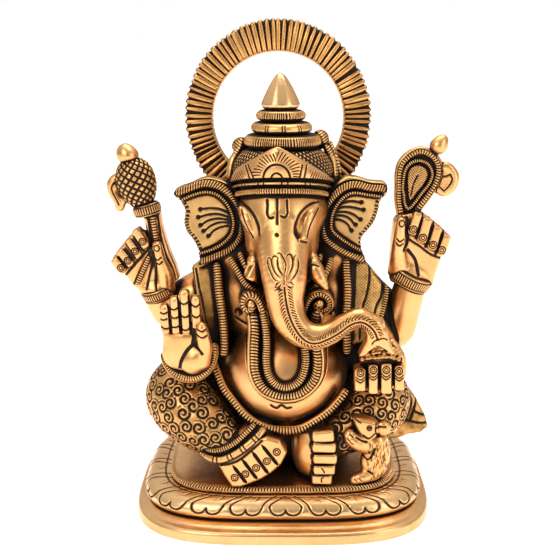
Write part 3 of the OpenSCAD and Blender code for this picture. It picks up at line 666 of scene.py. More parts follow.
def make_crown():
    """The bands, net, diadem, wings and tiers of the crown, and its finial."""
    def ribs(count, lo, hi):
        def pat(th, _, pr):
            m = ease(lo, lo + 0.1, pr[:, 1]) * (1 - ease(hi - 0.1, hi, pr[:, 1]))
            jag = 0.25 * np.sin(th * 7) + 0.2 * np.sin(th * 13 + 1)
            return (groove(th * count / (2 * math.pi) + jag, 0.14, 0.32) * m[None, :]
                * (pr[:, 0] > 2)[None, :])
        return pat

    def pairs(count):
        def pat(th, _, pr):
            f = (th * count / (2 * math.pi) + 0.13) % 1.0
            a = np.maximum(1 - ease(0.02, 0.045, np.abs(f - 0.42)),
                1 - ease(0.02, 0.045, np.abs(f - 0.58)))
            m = ease(0.4, 1.2, pr[:, 1]) * (1 - ease(4.6, 5.4, pr[:, 1]))
            return a * m[None, :] * (pr[:, 0] > 2)[None, :]
        return pat

    def tier(node, r, z0, z1, pat, n, cx=CX):
        h = z1 - z0
        ring = spline([(r - 4.2, 0), (r - 2.2, 0.5), (r - 0.5, h * 0.26), (r, h * 0.46),
            (r - 0.35, h * 0.7), (r - 1.5, h * 0.90), (r - 3.4, h)], 0.3)
        pr = np.vstack([[(0, 0)], ring, [(0, h)]])
        v, f, g = lathe(pr, n, pat, at=(cx, CY, z0), amp=0.5)
        p = Part(node, v, f, "engraved_brass", "cut")
        g = g.reshape(-1, len(pr))
        dark = np.maximum(1 - ease(0.05, 0.2, pr[:, 1] / h), ease(0.88, 0.97, pr[:, 1] / h))
        p.cut = np.maximum(g, dark[None, :]).ravel()
    tier("crown_tier_low", 19.3, 190.4, 197.4, ribs(98, 1.2, 6.2), int(98 * 8 / COARSE), -0.1)
    tier("crown_tier_mid", 15.3, 197.4, 203.4, pairs(11), 500, -0.6)
    tier("crown_tier_top", 12.4, 203.4, 209.2, ribs(66, 0.9, 5.0), int(66 * 8 / COARSE), -0.9)
    pr = spline([(0, 0), (6.6, 0.1), (8.7, 0.9), (9.5, 2.2), (9.2, 3.8), (7.6, 7.4), (5.9, 10.8),
        (4.0, 14.0), (2.2, 16.4), (1.0, 17.3), (0, 17.6)], 0.3)
    pr = np.vstack([[(0, 0)], pr[(pr[:, 0] > 0.05)], [(0, 17.6)]])
    v, f, g = lathe(pr, 200, at=(CX, CY, 209.2))
    p = Part("finial", v, f, "brass", "base")
    th = np.arctan2(v[:, 1] - CY, v[:, 0] - CX)
    z = v[:, 2] - 209.2
    flat = np.cos(7 * th + 0.7) * ease(1, 4, z) * (1 - ease(14, 17, z))
    p.v[:, 0] += 0.16 * flat * np.cos(th)
    p.v[:, 1] += 0.16 * flat * np.sin(th)

    pr = np.vstack([[(0, 170)],
        spline([(22.0, 170), (24.0, 175), (25.2, 180), (23.8, 184.6), (20.8, 188.4), (17.8, 190.4)],
        0.35), [(0, 190.4)]])

    def net(th, _, pr):
        z = pr[:, 1][None]
        bend = 0.8 * np.sin(th * 3)
        a = np.maximum(groove(th * 30 / math.pi + z * 0.40 + bend, 0.14, 0.34),
            groove(th * 30 / math.pi - z * 0.30, 0.12, 0.30))
        return a * (pr[:, 0] > 5)[None]
    v, f, g = lathe(pr, int(1000 / COARSE), net, at=(0, -13, 0), amp=0.5)
    p = Part("crown_dome", v, f, "brass", "cut")
    ax = np.abs(v[:, 0])
    p.cut = np.clip(np.maximum(g + 0.14, 1 - ease(177, 179.4, v[:, 2] + ax * 0.12)), 0, 1)

    # peaked front plate
    nu, nv = int(460 / COARSE), int(72 / COARSE)
    a = np.radians(np.linspace(-84, 84, nu))
    x = 26.4 * np.sin(a) - 0.3
    zb = 179.4 - 6.6 * (1 - np.cos(a)) ** 1.15
    zt = 194.0 - 0.52 * np.abs(x + 2.7) - 0.0035 * (x + 2.7) ** 2
    zt = zt - 4.4 * ease(math.radians(52), math.radians(84), np.abs(a)) ** 1.4
    zt = 194.2 - np.sqrt((194.2 - zt) ** 2 + 0.8)
    zt = np.maximum(zt, zb + 1.2)
    front = np.stack([np.stack([x * (1 - 0.02 * u),
        -12.6 - (28.9 - 2.2 * u ** 2 + 0.7 * math.sin(math.pi * u)) * np.cos(a) + 0.4 * u,
        zb + (zt - zb) * u], 1) for u in np.linspace(0, 1, nv)], 1)
    back = np.stack([np.stack([x * 0.9, -12.6 - (25.0 - 0.6 * u) * np.cos(a),
        zb + (zt - zb) * u - 0.3 * u], 1) for u in (0.97, 0.5, 0.02)], 1)
    lip = np.stack([np.stack([x * 0.97, -12.6 - 26.2 * np.cos(a), zt + 0.5], 1)], 1)
    low = np.stack([np.stack([x * 0.985, -12.6 - 28.0 * np.cos(a), zb - 0.7], 1)], 1)
    v = np.concatenate([low, front, lip, back], 1)
    f = tube_faces(nu, v.shape[1], False, True)
    g = np.zeros(v.shape[:2])
    X = front[:, :, 0] + 2.9
    Z = front[:, :, 2] - 179.0
    rr = np.hypot(X, Z * 0.95)
    th = np.arctan2(Z, X)
    gg = 1 - ease(0.32, 0.7, np.abs(rr - 6.4))
    gg = np.maximum(gg, 1 - ease(0.3, 0.6, np.abs(rr - 2.6)))
    fan = (groove(th * 6.8 + 0.22 * (rr - 8) * np.sign(X), 0.13, 0.27) * ease(7.6, 8.1, rr)
        * (1 - ease(11.2, 12.4, rr + 0.8 * np.sin(th * 8))))
    gg = np.maximum(gg, 0.9 * fan * (Z > 0.6))
    for x0, x1 in ((-15.6, -13.2), (-14.2, -11.2), (12.4, 10.8), (14.6, 13.0)):
        xl = x1 + (x0 - x1) * Z / 6.6
        gg = np.maximum(gg, (1 - ease(0.24, 0.56, np.abs(X - xl))) * (Z < 6.4))
    rim = (front[:, :, 2] - zb[:, None]) / np.maximum(zt - zb, 0.1)[:, None]
    fine = (groove((np.abs(X) * 0.94 - Z * 0.55 + 0.02 * Z ** 2) / 1.25, 0.12, 0.30)
        * ease(15.9, 16.3, np.abs(X)) * (1 - ease(0.62, 0.78, rim)))
    gg = np.maximum(gg, 0.8 * fine)
    gg *= (rim < 0.93)
    gg = np.maximum(gg, 0.9 * (1 - ease(0.0, 0.03, rim)))
    g[:, 1:1 + nv] = gg
    g[:, 0] = 1
    nrm = np.stack([np.sin(a), -np.cos(a), 0 * a], 1)
    v = v - nrm[:, None, :] * (g * 0.42)[..., None]
    p = Part("diadem", v.reshape(-1, 3), f, "brass", "brass")
    p.cut = g.ravel()
    p.caps = [list(range(v.shape[1])), list(range((nu - 1) * v.shape[1], nu * v.shape[1]))]

    def brow(z0, drop, rx, ry):
        t = np.radians(np.linspace(-84, 84, 30))
        return np.stack([rx * np.sin(t) - 0.5, -13.4 - ry * np.cos(t),
            z0 - drop * (1 - np.cos(t)) ** 1.1], 1)

    def outward(p):
        return np.stack([p[:, 0] + 0.6, (p[:, 1] + 13.4), 0 * p[:, 0] + 1.0], 1)
    strip("brow_band", band(brow(173.4, 6.8, 22.6, 28.8), 1.42, 1.6, "rib", 1.2, up=outward,
        amp=0.35))
    strip("crown_fillet", band(brow(177.0, 6.6, 24.0, 28.4), 0.62, 1.1, "pairs", 1.9, up=outward,
        amp=0.6))

    c = Clay((-34, -20, 166), (34, 6, 203), h=0.45)
    c.chain([(-25.0, -14, 170, 2.6), (-26.0, -14, 177, 2.3), (-24.8, -13, 184, 2.3),
        (-22.0, -11, 189.0, 2.0)], 0.5)
    c.chain([(25.8, -14, 170, 2.2), (25.4, -14, 178, 2.2), (24.4, -13, 184.5, 2.2),
        (22.0, -11, 190, 2.0)], 0.5)
    c.egg((-21.0, -5, 190.6), (4.8, 6, 4.6), 1.2)
    c.egg((19.0, -5, 194.0), (4.4, 6, 5.0), 1.2)
    c.chain([(27.4, -11, 170, 1.6), (27.6, -10, 178, 1.8), (26.0, -9, 186, 1.8),
        (23.6, -6, 192, 1.6)], 0.5)
    p = c.part("crown_wings", "engraved_brass", "cut")
    p.hatch(lambda v, n: (v[:, 2] > 187) & (v[:, 0] < 0), 60, None, 1.3, 0.35, dark=1)
    p.hatch(lambda v, n: (v[:, 2] > 187) & (v[:, 0] > 0), 120, None, 1.3, 0.35, dark=1)
    p.hatch(lambda v, n: (v[:, 0] > 26.3), 80, None, 1.5, 0.3, dark=0.9)


def make_halo():
    """The ring behind the head, ribbed all round."""
    count = 90
    n = int(count * 12 / COARSE)
    th = np.arange(n) * 2 * math.pi / n
    rng = np.random.default_rng(7)
    knots = np.linspace(0, 2 * math.pi, 61)
    jit = np.interp(th, knots, np.r_[rng.uniform(-0.30, 0.30, 60), 0])
    ph = th * count / (2 * math.pi) + jit
    rib = np.abs(ph - np.round(ph))
    side = 0.5 - 0.5 * np.sin(th)
    wide = ((0.085 + 0.065 * rng.uniform(-0.8, 1.0, count + 3)[np.round(ph).astype(int) % count])
        * (1 + 0.75 * side))
    scal = np.abs(np.sin(ph * math.pi)) ** 0.6
    bump = np.interp(th, knots, np.r_[rng.uniform(-0.5, 0.5, 60), 0])
    sec = ([(-0.02, 3.0), (-0.01, 0), (0.0, -2.6), (0.03, -3.2)]
        + [(u, -3.4 - 0.7 * math.sin(u * math.pi)) for u in np.linspace(0.07, 0.93, 22)]
        + [(0.975, -3.0), (0.995, -2.0), (1.0, -0.8), (1.0, 0.8), (0.99, 2.4), (0.94, 3.2),
        (0.6, 3.4), (0.3, 3.4), (0.03, 3.4)])
    sec = arr(sec)
    u, y = sec[:, 0][None], sec[:, 1][None]
    face = ease(0.015, 0.05, u) * (y < 2.3)
    ww = wide[:, None] * (0.8 + 0.9 * u ** 6)
    g = (1 - ease(ww * 0.75, ww * 1.7 + 0.03, rib[:, None])) * face
    rin = 34.2
    ro_x = 48.5 - 0.9 * (1 - scal[:, None]) + 0.5 * bump[:, None]
    ro_z = 50.3 - 0.9 * (1 - scal[:, None]) + 0.5 * bump[:, None]
    bite = 0.45 * g * ease(0.88, 1.0, u)
    rx = rin + (ro_x - rin) * u - bite
    rz = rin + (ro_z - rin) * u - bite
    yy = y + 1.15 * g * (y < 0) + 0.35 * np.cos(rib[:, None] * math.pi) * (y < -2)
    x, y, z = HALO_AT
    v = np.stack([x + rx * np.cos(th)[:, None], y + yy + 0 * rx, z + rz * np.sin(th)[:, None]], -1)
    keep = ~((v[:, 5, 2] < 168) & (np.abs(v[:, 5, 0]) < 17))
    k = len(sec)
    idx = np.nonzero(keep)[0]
    start = [i for i in idx if not keep[(i - 1) % n]][0]
    order = [(start + j) % n for j in range(len(idx))]
    v, g = v[order], g[order]
    m = len(order)
    p = Part("halo_ring", v.reshape(-1, 3), tube_faces(m, k, False, True), "engraved_brass", "cut")
    p.cut = np.clip(g * 1.1 + 0.16 * ease(0.25, 0.5, rib[order][:, None]) + 0.2, 0, 1).ravel()
    p.caps = [list(range(k)), list(range((m - 1) * k, m * k))]


# ---------------------------------------------------------------- head
TRUNK = [(0, -36, 148, 14), (-0.2, -42, 139, 12), (0, -47, 131, 10.4), (1, -49, 123, 9),
    (3, -51, 114, 8.1), (8.2, -52, 107.4, 7), (15.4, -53, 105, 6.3),
    (22.6, -52, 106.6, 5.6), (29.7, -51, 111, 4.9), (36.8, -50, 113.6, 4.9),
    (42.4, -50, 110.4, 4.5), (45.2, -50, 104.8, 4.4)]


def make_head():
    """The head and trunk in one, with the eyes, forehead marks and tusks."""
    c = Clay((-30, -62, 88), (60, 16, 181), h=0.4)
    c.egg((0, -15, 161), (22.8, 27.2, 17.4))
    c.egg((-1, -31, 160), (17.5, 12.4, 15.5), 6)
    c.egg((-13.0, -27, 147), (5.6, 9.5, 12.5), 4)
    c.egg((12.2, -27, 147), (5.6, 9.5, 12.5), 4)
    c.egg((0, -14, 148), (16, 20, 17), 4)
    c.chain([(-0.3, -32, 154, 14.4), (0.0, -37, 148, 13.4), (0.2, -42, 139.6, 12.0),
        (0.8, -47, 131, 10.5)] + TRUNK[3:], 5)
    c.chain([(44.0, -50, 110, 5.0), (45.2, -50, 107.2, 4.4)], 1.5)
    c.sheet([(40.6, 108), (40.0, 103.4), (38.4, 99.9), (36.4, 95.0), (38.0, 94.6), (42.0, 97.2),
        (45.2, 99.8), (48.9, 97.8), (52.6, 95.4), (54.0, 96.0), (52.8, 99.0), (50.9, 103.4),
        (49.6, 108)],
        lambda x, z: -50.0 + 0.012 * (x - 45.5) ** 2, 4.0, 1.6, 1.6)
    # eye hollows and eyes
    c.chain([(-21.4, -36, 164, 2.4), (-17.2, -41.5, 160, 3.2), (-13.8, -44, 153, 2.6)], 2.0, True)
    c.chain([(16.6, -37, 165, 2.4), (11.6, -42.5, 160, 3.2), (8.8, -45, 153.5, 2.4)], 2.0, True)
    c.chain([(-20.2, -32.4, 163.2, 1.6), (-17.4, -35.4, 159.2, 3.1), (-14.6, -38.0, 153.8, 2.0)],
        0.5)
    c.chain([(15.6, -33.2, 164.4, 1.6), (12.2, -36.8, 160.0, 3.2), (9.8, -39.6, 154.2, 2.0)], 0.5)
    # tusk sockets
    c.cone((-11.5, -33, 141, 4.6), (-14, -38.5, 138.6, 3.4), 1.5)
    c.cone((11.5, -33, 142, 4.6), (14, -38.5, 139.6, 3.4), 1.5)
    p = c.part("head trunk", smooth=2)
    n = p.normals()
    p.cut = np.maximum(p.cut, ease(169.4, 170.6,
        p.v[:, 2] + 0.26 * np.maximum(np.abs(p.v[:, 0]) - 9, 0)) * (p.v[:, 1] < 5))
    p.carve([[(-7.4, 169.0), (-7.3, 166.2), (-7.5, 163.6), (-7.1, 161.9), (-6.0, 160.9),
        (-4.6, 161.4)],
        [(2.0, 169.0), (2.1, 166.6), (2.3, 164.0), (1.8, 162.3), (0.6, 161.3), (-0.8, 162.0)],
        [(-2.7, 169.8), (-2.7, 164.7), (-2.7, 158.5)]], 0.52, 0.55)
    p.rings([(-2.8, 153.7)], 0.3, 0.6, 0.5)
    p.carve([[(-21.2, 166.0), (-18.2, 165.2), (-15.2, 163.0), (-13.0, 159.6), (-11.7, 156.0),
        (-11.3, 152.2)],
        [(17.6, 166.7), (13.6, 166.4), (10.4, 164.6), (7.8, 161.6), (6.4, 158.0), (6.2, 154.0),
        (7.6, 150.8)]], 0.8, 0.8, 0.2, taper=5)
    p.carve([[(-20.0, 163.4), (-18.8, 159.6), (-17.0, 155.4), (-14.4, 150.4)],
        [(17.4, 164.0), (15.2, 160.4), (13.0, 156.0), (11.8, 151.6)],
        [(8.6, 150.4), (10.2, 149.7), (11.6, 149.2)]], 0.38, 0.4, 0.3)
    # lotus on the trunk
    p.carve([[(-7.4, 142.9), (-7.2, 140.0), (-6.0, 137.1), (-4.2, 134.1), (-2.3, 133.2)],
        [(-7.4, 142.9), (-6.5, 143.4), (-5.6, 142.4), (-5.1, 140.0), (-3.7, 137.1), (-0.9, 134.6)],
        [(-5.1, 142.9), (-4.6, 144.1), (-3.2, 144.3), (-2.3, 143.4)],
        [(-2.3, 143.8), (-2.5, 141.4), (-1.8, 138.5), (0.6, 135.6)],
        [(-2.3, 145.3), (-1.3, 145.8), (0.1, 143.8), (1.5, 140.9), (1.0, 137.6), (0.6, 135.6)],
        [(1.5, 143.4), (2.4, 145.1), (3.9, 144.8), (4.8, 141.9), (4.3, 139.0), (2.5, 136.1)],
        [(5.3, 142.4), (5.3, 143.8), (6.7, 144.8)],
        [(7.2, 142.9), (7.6, 140.0), (6.7, 137.1), (4.8, 134.6), (3.4, 133.7)],
        [(0.6, 135.6), (0.6, 134), (0.6, 132.2)],
        [(-3.7, 130.2), (-2.7, 132.2), (-0.9, 133.2)], [(-3.7, 130.2), (-2, 130.6), (-0.6, 132.4)],
        [(-4.2, 128.8), (-1.8, 129.7), (0.1, 129.3)],
        [(2.0, 133.2), (3.9, 132.7), (5.3, 131.2)], [(1.6, 132.4), (2.6, 130.8), (4.8, 130.6)]],
        0.34, 0.42, taper=2.5)
    # line and barbs down the trunk
    mid = spline([(0.6, 132.4), (1.0, 127.6), (1.7, 122.6), (3.2, 116.7), (5.6, 111.2),
        (8.6, 106.7), (12.1, 104.0), (16.0, 103.5), (20.7, 104.9), (26.5, 107.7), (32.1, 111.5),
        (36.9, 112.6), (40.8, 110.9), (43.7, 107.7), (45.2, 104.0)], 0.5)
    n = p.normals()
    idx = np.nonzero((n[:, 1] < -0.15) & (p.v[:, 1] < -40) & (p.v[:, 2] < 131)
        & (p.v[:, 2] > 95))[0]
    d, s, side = line_dist(p.v[idx][:, [0, 2]], mid)
    g = np.zeros(len(p.v))
    a = 1 - ease(0.3, 0.66, d)
    wave = groove((s - 1.9 * (np.maximum(d - 1.0, 0) / 2.4) ** 2) / 1.45, 0.17, 0.34)
    inn = np.where(side > 0, 1.2, 0.9)
    barb = (wave * ease(inn, inn + 0.35, d) * (1 - ease(inn + 2.0, inn + 2.6, d)) * (s > 2)
        * (s < mid.shape[0] * 0.5 - 1.5))
    g[idx] = np.maximum(a, 0.95 * barb)
    p.press(g, 0.4, 1.0, n)
    p.carve([[(42.6, 101.6), (43.8, 103.2), (45.3, 103.9)],
        [(45.6, 103.9), (47.7, 104.6), (49.9, 103.6)]], 0.35, 0.35)
    moat(p, [(41.6, 97.0), (43.4, 98.4), (45.4, 99.8), (47.2, 98.8), (49.4, 97.6)], 0.7, 0.5, 0.5)

    t = Clay((-22, -48, 122), (-6, -30, 146), h=0.36)
    t.chain([(-12, -36, 140, 3.8), (-14, -39.5, 136, 3.6), (-15.6, -41.5, 131.6, 3.5)], 0)
    t.box((-17.2, -43, 127.6), (6, 7, 3.4), 0.3, 0.4, True, rot=(0, 24, 0))
    t.box((-20.2, -46, 134), (3.4, 5, 7), 0.3, 0.4, True, rot=(10, 34, 12))
    t.part("tusk_l")
    t = Clay((6, -50, 122), (25, -28, 146), h=0.36)
    t.chain([(11, -34, 141, 4.2), (14.6, -39.4, 136.6, 4.3), (17.8, -42.4, 131.6, 3.4),
        (20.8, -44.6, 127.0, 1.2)], 0)
    p = t.part("tusk_r")
    p.carve([[(11.4, 134.6), (13.6, 138.0), (17.4, 137.4)]], 0.4, 0.4)


EAR_L = [(-34.6, 176.2), (-41, 175.7), (-46, 173.4), (-52, 171.4), (-54.6, 168.4), (-51.4, 165),
    (-48.9, 160), (-49.5, 154), (-48.2, 149), (-45.2, 145),
    (-42.8, 139.6), (-42.4, 134), (-43, 130.4), (-36.4, 133.2), (-29.3, 135.4), (-22.6, 139.6),
    (-17, 145), (-15, 152.6), (-16.4, 162.6), (-22.8, 171.4)]
EAR_R = [(29.8, 176.2), (22.5, 169.8), (15.6, 161.2), (15.2, 151), (18.3, 143), (26.4, 138.6),
    (34, 135.6), (42.2, 133.4), (40.6, 138.2), (39.4, 143.4),
    (40.4, 147), (45.2, 153), (47.6, 159.2), (48.6, 164.6), (50.9, 167.6), (52.4, 171.2),
    (50.2, 174.2), (43.2, 174.8), (35.8, 176.8)]
EAR_L_OUT = [(-53.0, 168.8), (-46.6, 171.2), (-39.4, 173.6), (-32.4, 172.8), (-26.2, 168.6),
    (-21.4, 161.8), (-20.0, 154.4), (-21.4, 146.6), (-26.2, 140.8), (-34.2, 137.0), (-42.0, 134.0)]
EAR_L_IN = [(-50.2, 165.6), (-43.8, 168.4), (-37.6, 169.6), (-32.0, 168.0), (-27.2, 163.0),
    (-24.6, 155.5), (-25.6, 148.4), (-30.4, 143.2), (-36.6, 140.0), (-42.4, 138.2)]
EAR_R_OUT = [(51.0, 171.2), (43.4, 171.6), (35.2, 173.2), (29.0, 171.0), (23.0, 165.0),
    (19.8, 158.0), (19.4, 151.6), (21.6, 145.6), (28, 140.6), (34.6, 137.4), (41.2, 134.8)]
EAR_R_IN = [(49.4, 167.2), (41.4, 168.4), (35.0, 169.2), (30.2, 167.0), (25.8, 161.4),
    (24.0, 155.0), (24.8, 150.0), (29.6, 145.6), (34.6, 142.4), (39.6, 139.6)]


def make_ears():
    """The two ears and the trims round them."""
    for node, out, lines, sgn in (
            ("ear_l", EAR_L, [[(-26.7, 158.7), (-31.2, 160.7), (-36.1, 161.2), (-41.1, 160.7)],
            [(-27.3, 156.8), (-32.2, 158.2), (-37.2, 157.9), (-42.2, 156.7)],
            [(-26.8, 155.2), (-32.2, 155.9), (-37.2, 154.9), (-41.3, 152.6)],
            [(-26.8, 154.0), (-31.8, 153.9), (-35.8, 152.3), (-39.8, 149.7)],
            [(-27.3, 152.4), (-31.3, 151.4), (-34.8, 149.6), (-37.4, 147.1)]], -1),
            ("ear_r", EAR_R, [[(27.4, 162.7), (30.8, 164.2), (34.3, 164.7), (39.2, 164.2)],
            [(26.9, 160.9), (30.9, 161.9), (35.3, 161.5), (40.3, 160.4)],
            [(26.9, 159.3), (31.4, 159.3), (35.4, 157.9), (38.9, 155.5)],
            [(26.5, 157.6), (30.4, 157.3), (33.4, 155.8), (36.5, 152.8)],
            [(26.0, 155.7), (29.5, 154.9), (32.5, 152.8), (34.5, 149.8)]], 1)):
        o = spline(out, 0.6, closed=True)[:-1]
        lo, hi = o.min(0), o.max(0)
        c = Clay((lo[0] - 2, -26, lo[1] - 2), (hi[0] + 2, -6, hi[1] + 2), h=0.42)

        def mid(x, z):
            u = np.abs(x) / 50
            return -15.2 + 1.2 * np.sin(u * 3.2) + 0 * z
        c.sheet(o, mid, 4.6, 1.3)
        cx = -35.5 if sgn < 0 else 35.0
        c.egg((cx, -21.2, 155.5), (11.5, 2.2, 12.5), 1.5, True)
        p = c.part(node, look="ear")
        dots = [l[-1] for l in lines]
        ends = [[l[0], l[1], l[2], (l[3][0] - sgn * 0.6, l[3][1])] for l in lines]
        p.carve(ends, 0.55, 0.45, 0.0)
        p.rings(dots, 0.25, 0.8, 0.45)
        # short cuts round the free edge
        loop = np.vstack([o, o[:1]])
        n = p.normals()
        idx = np.nonzero((n[:, 1] < 0.2) & (p.v[:, 1] < -14))[0]
        d, s, _ = line_dist(p.v[idx][:, [0, 2]], loop)
        x, z = p.v[idx, 0], p.v[idx, 2]
        free = ((np.abs(x) > 38) & (z < 166) & (z > 137) & (d < 2.6)
            & (np.abs(x) > 40.5 - (z < 150) * 3))
        g = np.zeros(len(p.v))
        g[idx] = groove(s / 1.75, 0.2, 0.4) * free
        p.press(g, 0.4, 0.9, n)
        moat(p, EAR_L_OUT if sgn < 0 else EAR_R_OUT, 1.9, 0.4)
        moat(p, EAR_L_IN if sgn < 0 else EAR_R_IN, 1.35, 0.3)

    def at(path, y):
        return [(a, y, b) for a, b in path]
    strip("ear_trims", band(at(EAR_L_OUT, -20.4), 1.85, 1.8, "lean", 1.35, amp=0.5),
        band(at(EAR_L_IN, -20.0), 0.95, 1.4, "rib", 1.2, amp=0.35),
        band(at(EAR_R_OUT, -20.4), 1.85, 1.8, "lean", 1.35, amp=0.5),
        band(at(EAR_R_IN, -20.0), 0.95, 1.4, "rib", 1.2, amp=0.35))


# ---------------------------------------------------------------- body
SASH_R = [(55, 76), (64.8, 64.9), (71.6, 55.8), (77.4, 44.7), (78.7, 39.5), (75.0, 36.0),
    (68.4, 35.0), (63.6, 33.0), (57, 32), (54, 36), (54, 60)]


def make_body():
    """The torso and all that is worn on it."""
    c = Clay((-52, -52, 21), (54, 32, 150), h=0.55)
    c.egg((1, -13, 77), (33, 30, 26.5))
    c.egg((0, 2, 84), (35, 21, 33), 5)
    c.egg((1, -5, 112), (36, 21, 19), 7)
    c.egg((-35, 0, 92), (13, 11, 36), 5)
    c.egg((38, 0, 92), (13, 11, 36), 5)
    c.egg((-30, 0, 118), (13, 13, 12), 6)
    c.egg((31, 0, 118), (13, 13, 12), 6)
    c.egg((1, -14, 68), (29, 27.5, 22), 8)
    c.egg((-18, -10, 113), (17, 13.5, 17), 8)
    c.egg((20, -10, 113), (17, 13.5, 17), 8)
    c.egg((-23, -6, 137), (14, 15, 15), 5)
    c.egg((25, -6, 137), (14, 15, 16), 5)
    c.egg((0, -2, 44), (36, 24, 24), 4)
    c.egg((0, 0, 31), (37, 20, 13), 4)
    c.egg((0, -8, 134), (18, 17, 14), 5)
    c.floor(SEAT_TOP)
    p = c.part("torso", smooth=2)
    p.carve([[(-5.9, 65.5), (-4.4, 64.4), (-2.9, 64.0), (-1.4, 65.5), (-0.4, 66.0), (0.6, 65.0),
        (2.1, 64.0), (4.1, 64.5)]], 0.6, 0.6, 0.2)
    p.carve([[(-24.2, 105.7), (-21.2, 103.6), (-16.8, 101.5)]], 0.6, 0.5, 0.1)
    p.carve([[(-18.6, 97.0), (-18.3, 90), (-17.7, 84.6), (-15.3, 78.3), (-10.3, 72.5), (-3.9, 68.9),
        (3.6, 67.9), (11.0, 70.1), (18.3, 75.2), (21.6, 82.0), (22.2, 92.4)]], 0.3, 0.35, 0.1)
    p.rings([(-22.6, 109.0), (25.2, 109.2)], 1.55, 0.4, 0.3)
    x, y, z = p.v.T
    # Painted shade on the belly: its sides and flanks, the crease under it (seam) and the torso
    # below it (low); chest is painted shade dulling the upper chest's highlight; neck draws the
    # dark lines along the neck bands.
    side = ease(27.5, 31, np.abs(x)) * ease(52, 60, z) * (y < 4)
    flank_shade = ease(18, 30, np.abs(x)) * ease(66, 74, z) * (1 - ease(96, 104, z)) * (y < 0)
    low = (1 - ease(46, 50, z)) * (y < 0)
    seam = (1 - ease(52, 60, z - 0.027 * x * x)) * 0.22
    chest = ease(98, 106, z) * 0.34 * (y < 0) * ease(5, 12, np.abs(x))
    neck = ((1 - ease(-0.5, 2.0, np.abs(x) - 10.2 - (z - 120.3) * 0.907)) * ease(115, 121, z)
        * 0.95 * (y < 0))
    p.cut = np.maximum.reduce([p.cut, 0.72 * side, 0.2 * flank_shade, low, seam * (y < 0), chest, neck])
    root = down_to(p)
    c = Clay((-26, -36, 106), (28, -18, 116), h=0.33)
    c.egg((-22.6, -25.4, 109.0), (1.15, 3.4, 1.15))
    c.egg((25.2, -25.4, 109.2), (1.15, 3.4, 1.15))
    c.part("chest_studs", "engraved_brass", "brass")

    gp = [(-15.0, -39.6, 114.1), (-14.2, -41, 109), (-14.1, -41.6, 103.9), (-14.5, -42.4, 97.2),
        (-14.6, -43, 91), (-14.2, -43.4, 84), (-11.8, -43.6, 77.4), (-7.2, -43.4, 73.0),
        (0, -43.2, 70.8),
        (7.6, -43.2, 71.8), (13.5, -43.2, 76), (17.0, -43.2, 82), (17.6, -42.6, 90),
        (16.4, -41.6, 98), (15.4, -42.6, 104.6), (16.4, -43.2, 110.8), (16.8, -43.4, 115.4)]
    gi = [(-10.2, -41.6, 114.4), (-9.2, -42, 111.1), (-8.2, -43, 104.9), (-7.9, -43.6, 97.2),
        (-8.2, -44.2, 90), (-7.0, -44.6, 83.0), (-3.2, -44.8, 77.8), (2.4, -44.8, 76.4),
        (7.6, -44.4, 79.0), (10.4, -43.8, 84),
        (11.4, -43, 91), (10.4, -42, 99), (9.5, -41.4, 107.2), (10.1, -41, 112.6)]
    neck = (([(-25.8, -27.6, 137.5), (-22.1, -31.4, 132.4), (-18.6, -34.0, 127.1),
        (-15.1, -35.8, 124.0), (-10.2, -37.4, 120.3)],
        [(24.0, -27.6, 137.5), (21.9, -31.2, 133.2), (18.8, -33.6, 128.8), (14.8, -35.8, 124.4),
        (10.9, -37.0, 121.2)]),
        ([(-21.2, -28.6, 140.7), (-18.6, -32.2, 136.0), (-16.6, -33.8, 132.6),
        (-14.6, -36.6, 128.8)], [(18.4, -29.4, 139.8), (16.9, -32.2, 136.4), (15.3, -33.6, 133.0),
        (13.6, -36.4, 129.0)]))
    strip("garland_outer", band(gp, 3.1, 2.1, "inner", 1.55, amp=0.55, back=root),
        *[band(q, 2.0, 3.0, "rib", 1.25, amp=0.45, back=root) for q in neck[0]])
    strip("garland_inner", band(gi, 2.0, 1.9, "rib", 1.2, amp=0.4, back=root),
        *[band(q, 1.8, 3.0, "rib", 1.25, amp=0.45, back=root) for q in neck[1]])
    left = [(-10.0, -41.6, 113.6), (-10.0, -42.2, 115.9), (-12.2, -42.2, 120.6),
        (-15.0, -42.4, 122.7), (-17.8, -42.2, 122.0), (-19.1, -42.0, 118.6), (-17.9, -42.0, 115.9),
        (-15.6, -42.4, 116.0), (-14.9, -42.8, 117.8), (-16.2, -43.0, 118.9)]
    right = [(10.0, -41, 111.9), (9.6, -41.6, 113.2), (11.7, -41.6, 119.0), (14.4, -41.8, 122.3),
        (18.2, -41.8, 123.2), (21.7, -41.4, 121.1), (22.8, -41.0, 117.5), (20.8, -41.0, 114.7),
        (17.4, -41.4, 114.8), (16.5, -42.0, 117.3), (18.2, -42.4, 118.4)]
    knobs = [lathe(spline([(0, -2.4), (1.3, -2.0), (2.0, -0.6), (2.0, 0.6), (1.3, 2.0), (0, 2.4)],
        0.3), 40, at=q)[:2] for q in ((-15.4, -42.6, 118.4), (18.0, -42.0, 118.2))]
    strip("garland_curls", band(left, 2.0, 2.3, "outer", 1.35, amp=0.4, back=root),
        band(right, 2.0, 2.3, "outer", 1.35, amp=0.4, back=root),
        *[(v, f, np.zeros(len(v))) for v, f in knobs])
    bp = [(-37.4, -17, 90), (-35.6, -23, 84.4), (-33.1, -28.1, 78.2), (-29.8, -32.6, 71.2),
        (-25.2, -35.4, 65.9), (-19.6, -37.9, 59.8), (-13.5, -39.3, 55.5), (-6.4, -40.0, 52.5),
        (0.6, -40.1, 51.5), (8.7, -40.0, 52.5), (16.3, -39.0, 56.4),
        (22.8, -37.5, 60.7), (29.0, -35.1, 66.7), (32.4, -32.4, 71.0)]
    strip("waist_belt", band(bp, 2.4, 2.2, "rib", 1.55, amp=0.5,
        up=lambda p: np.stack([p[:, 0] * 0.5, p[:, 1] * 0 - 1, (p[:, 2] - 75) * 0.02], 1)))

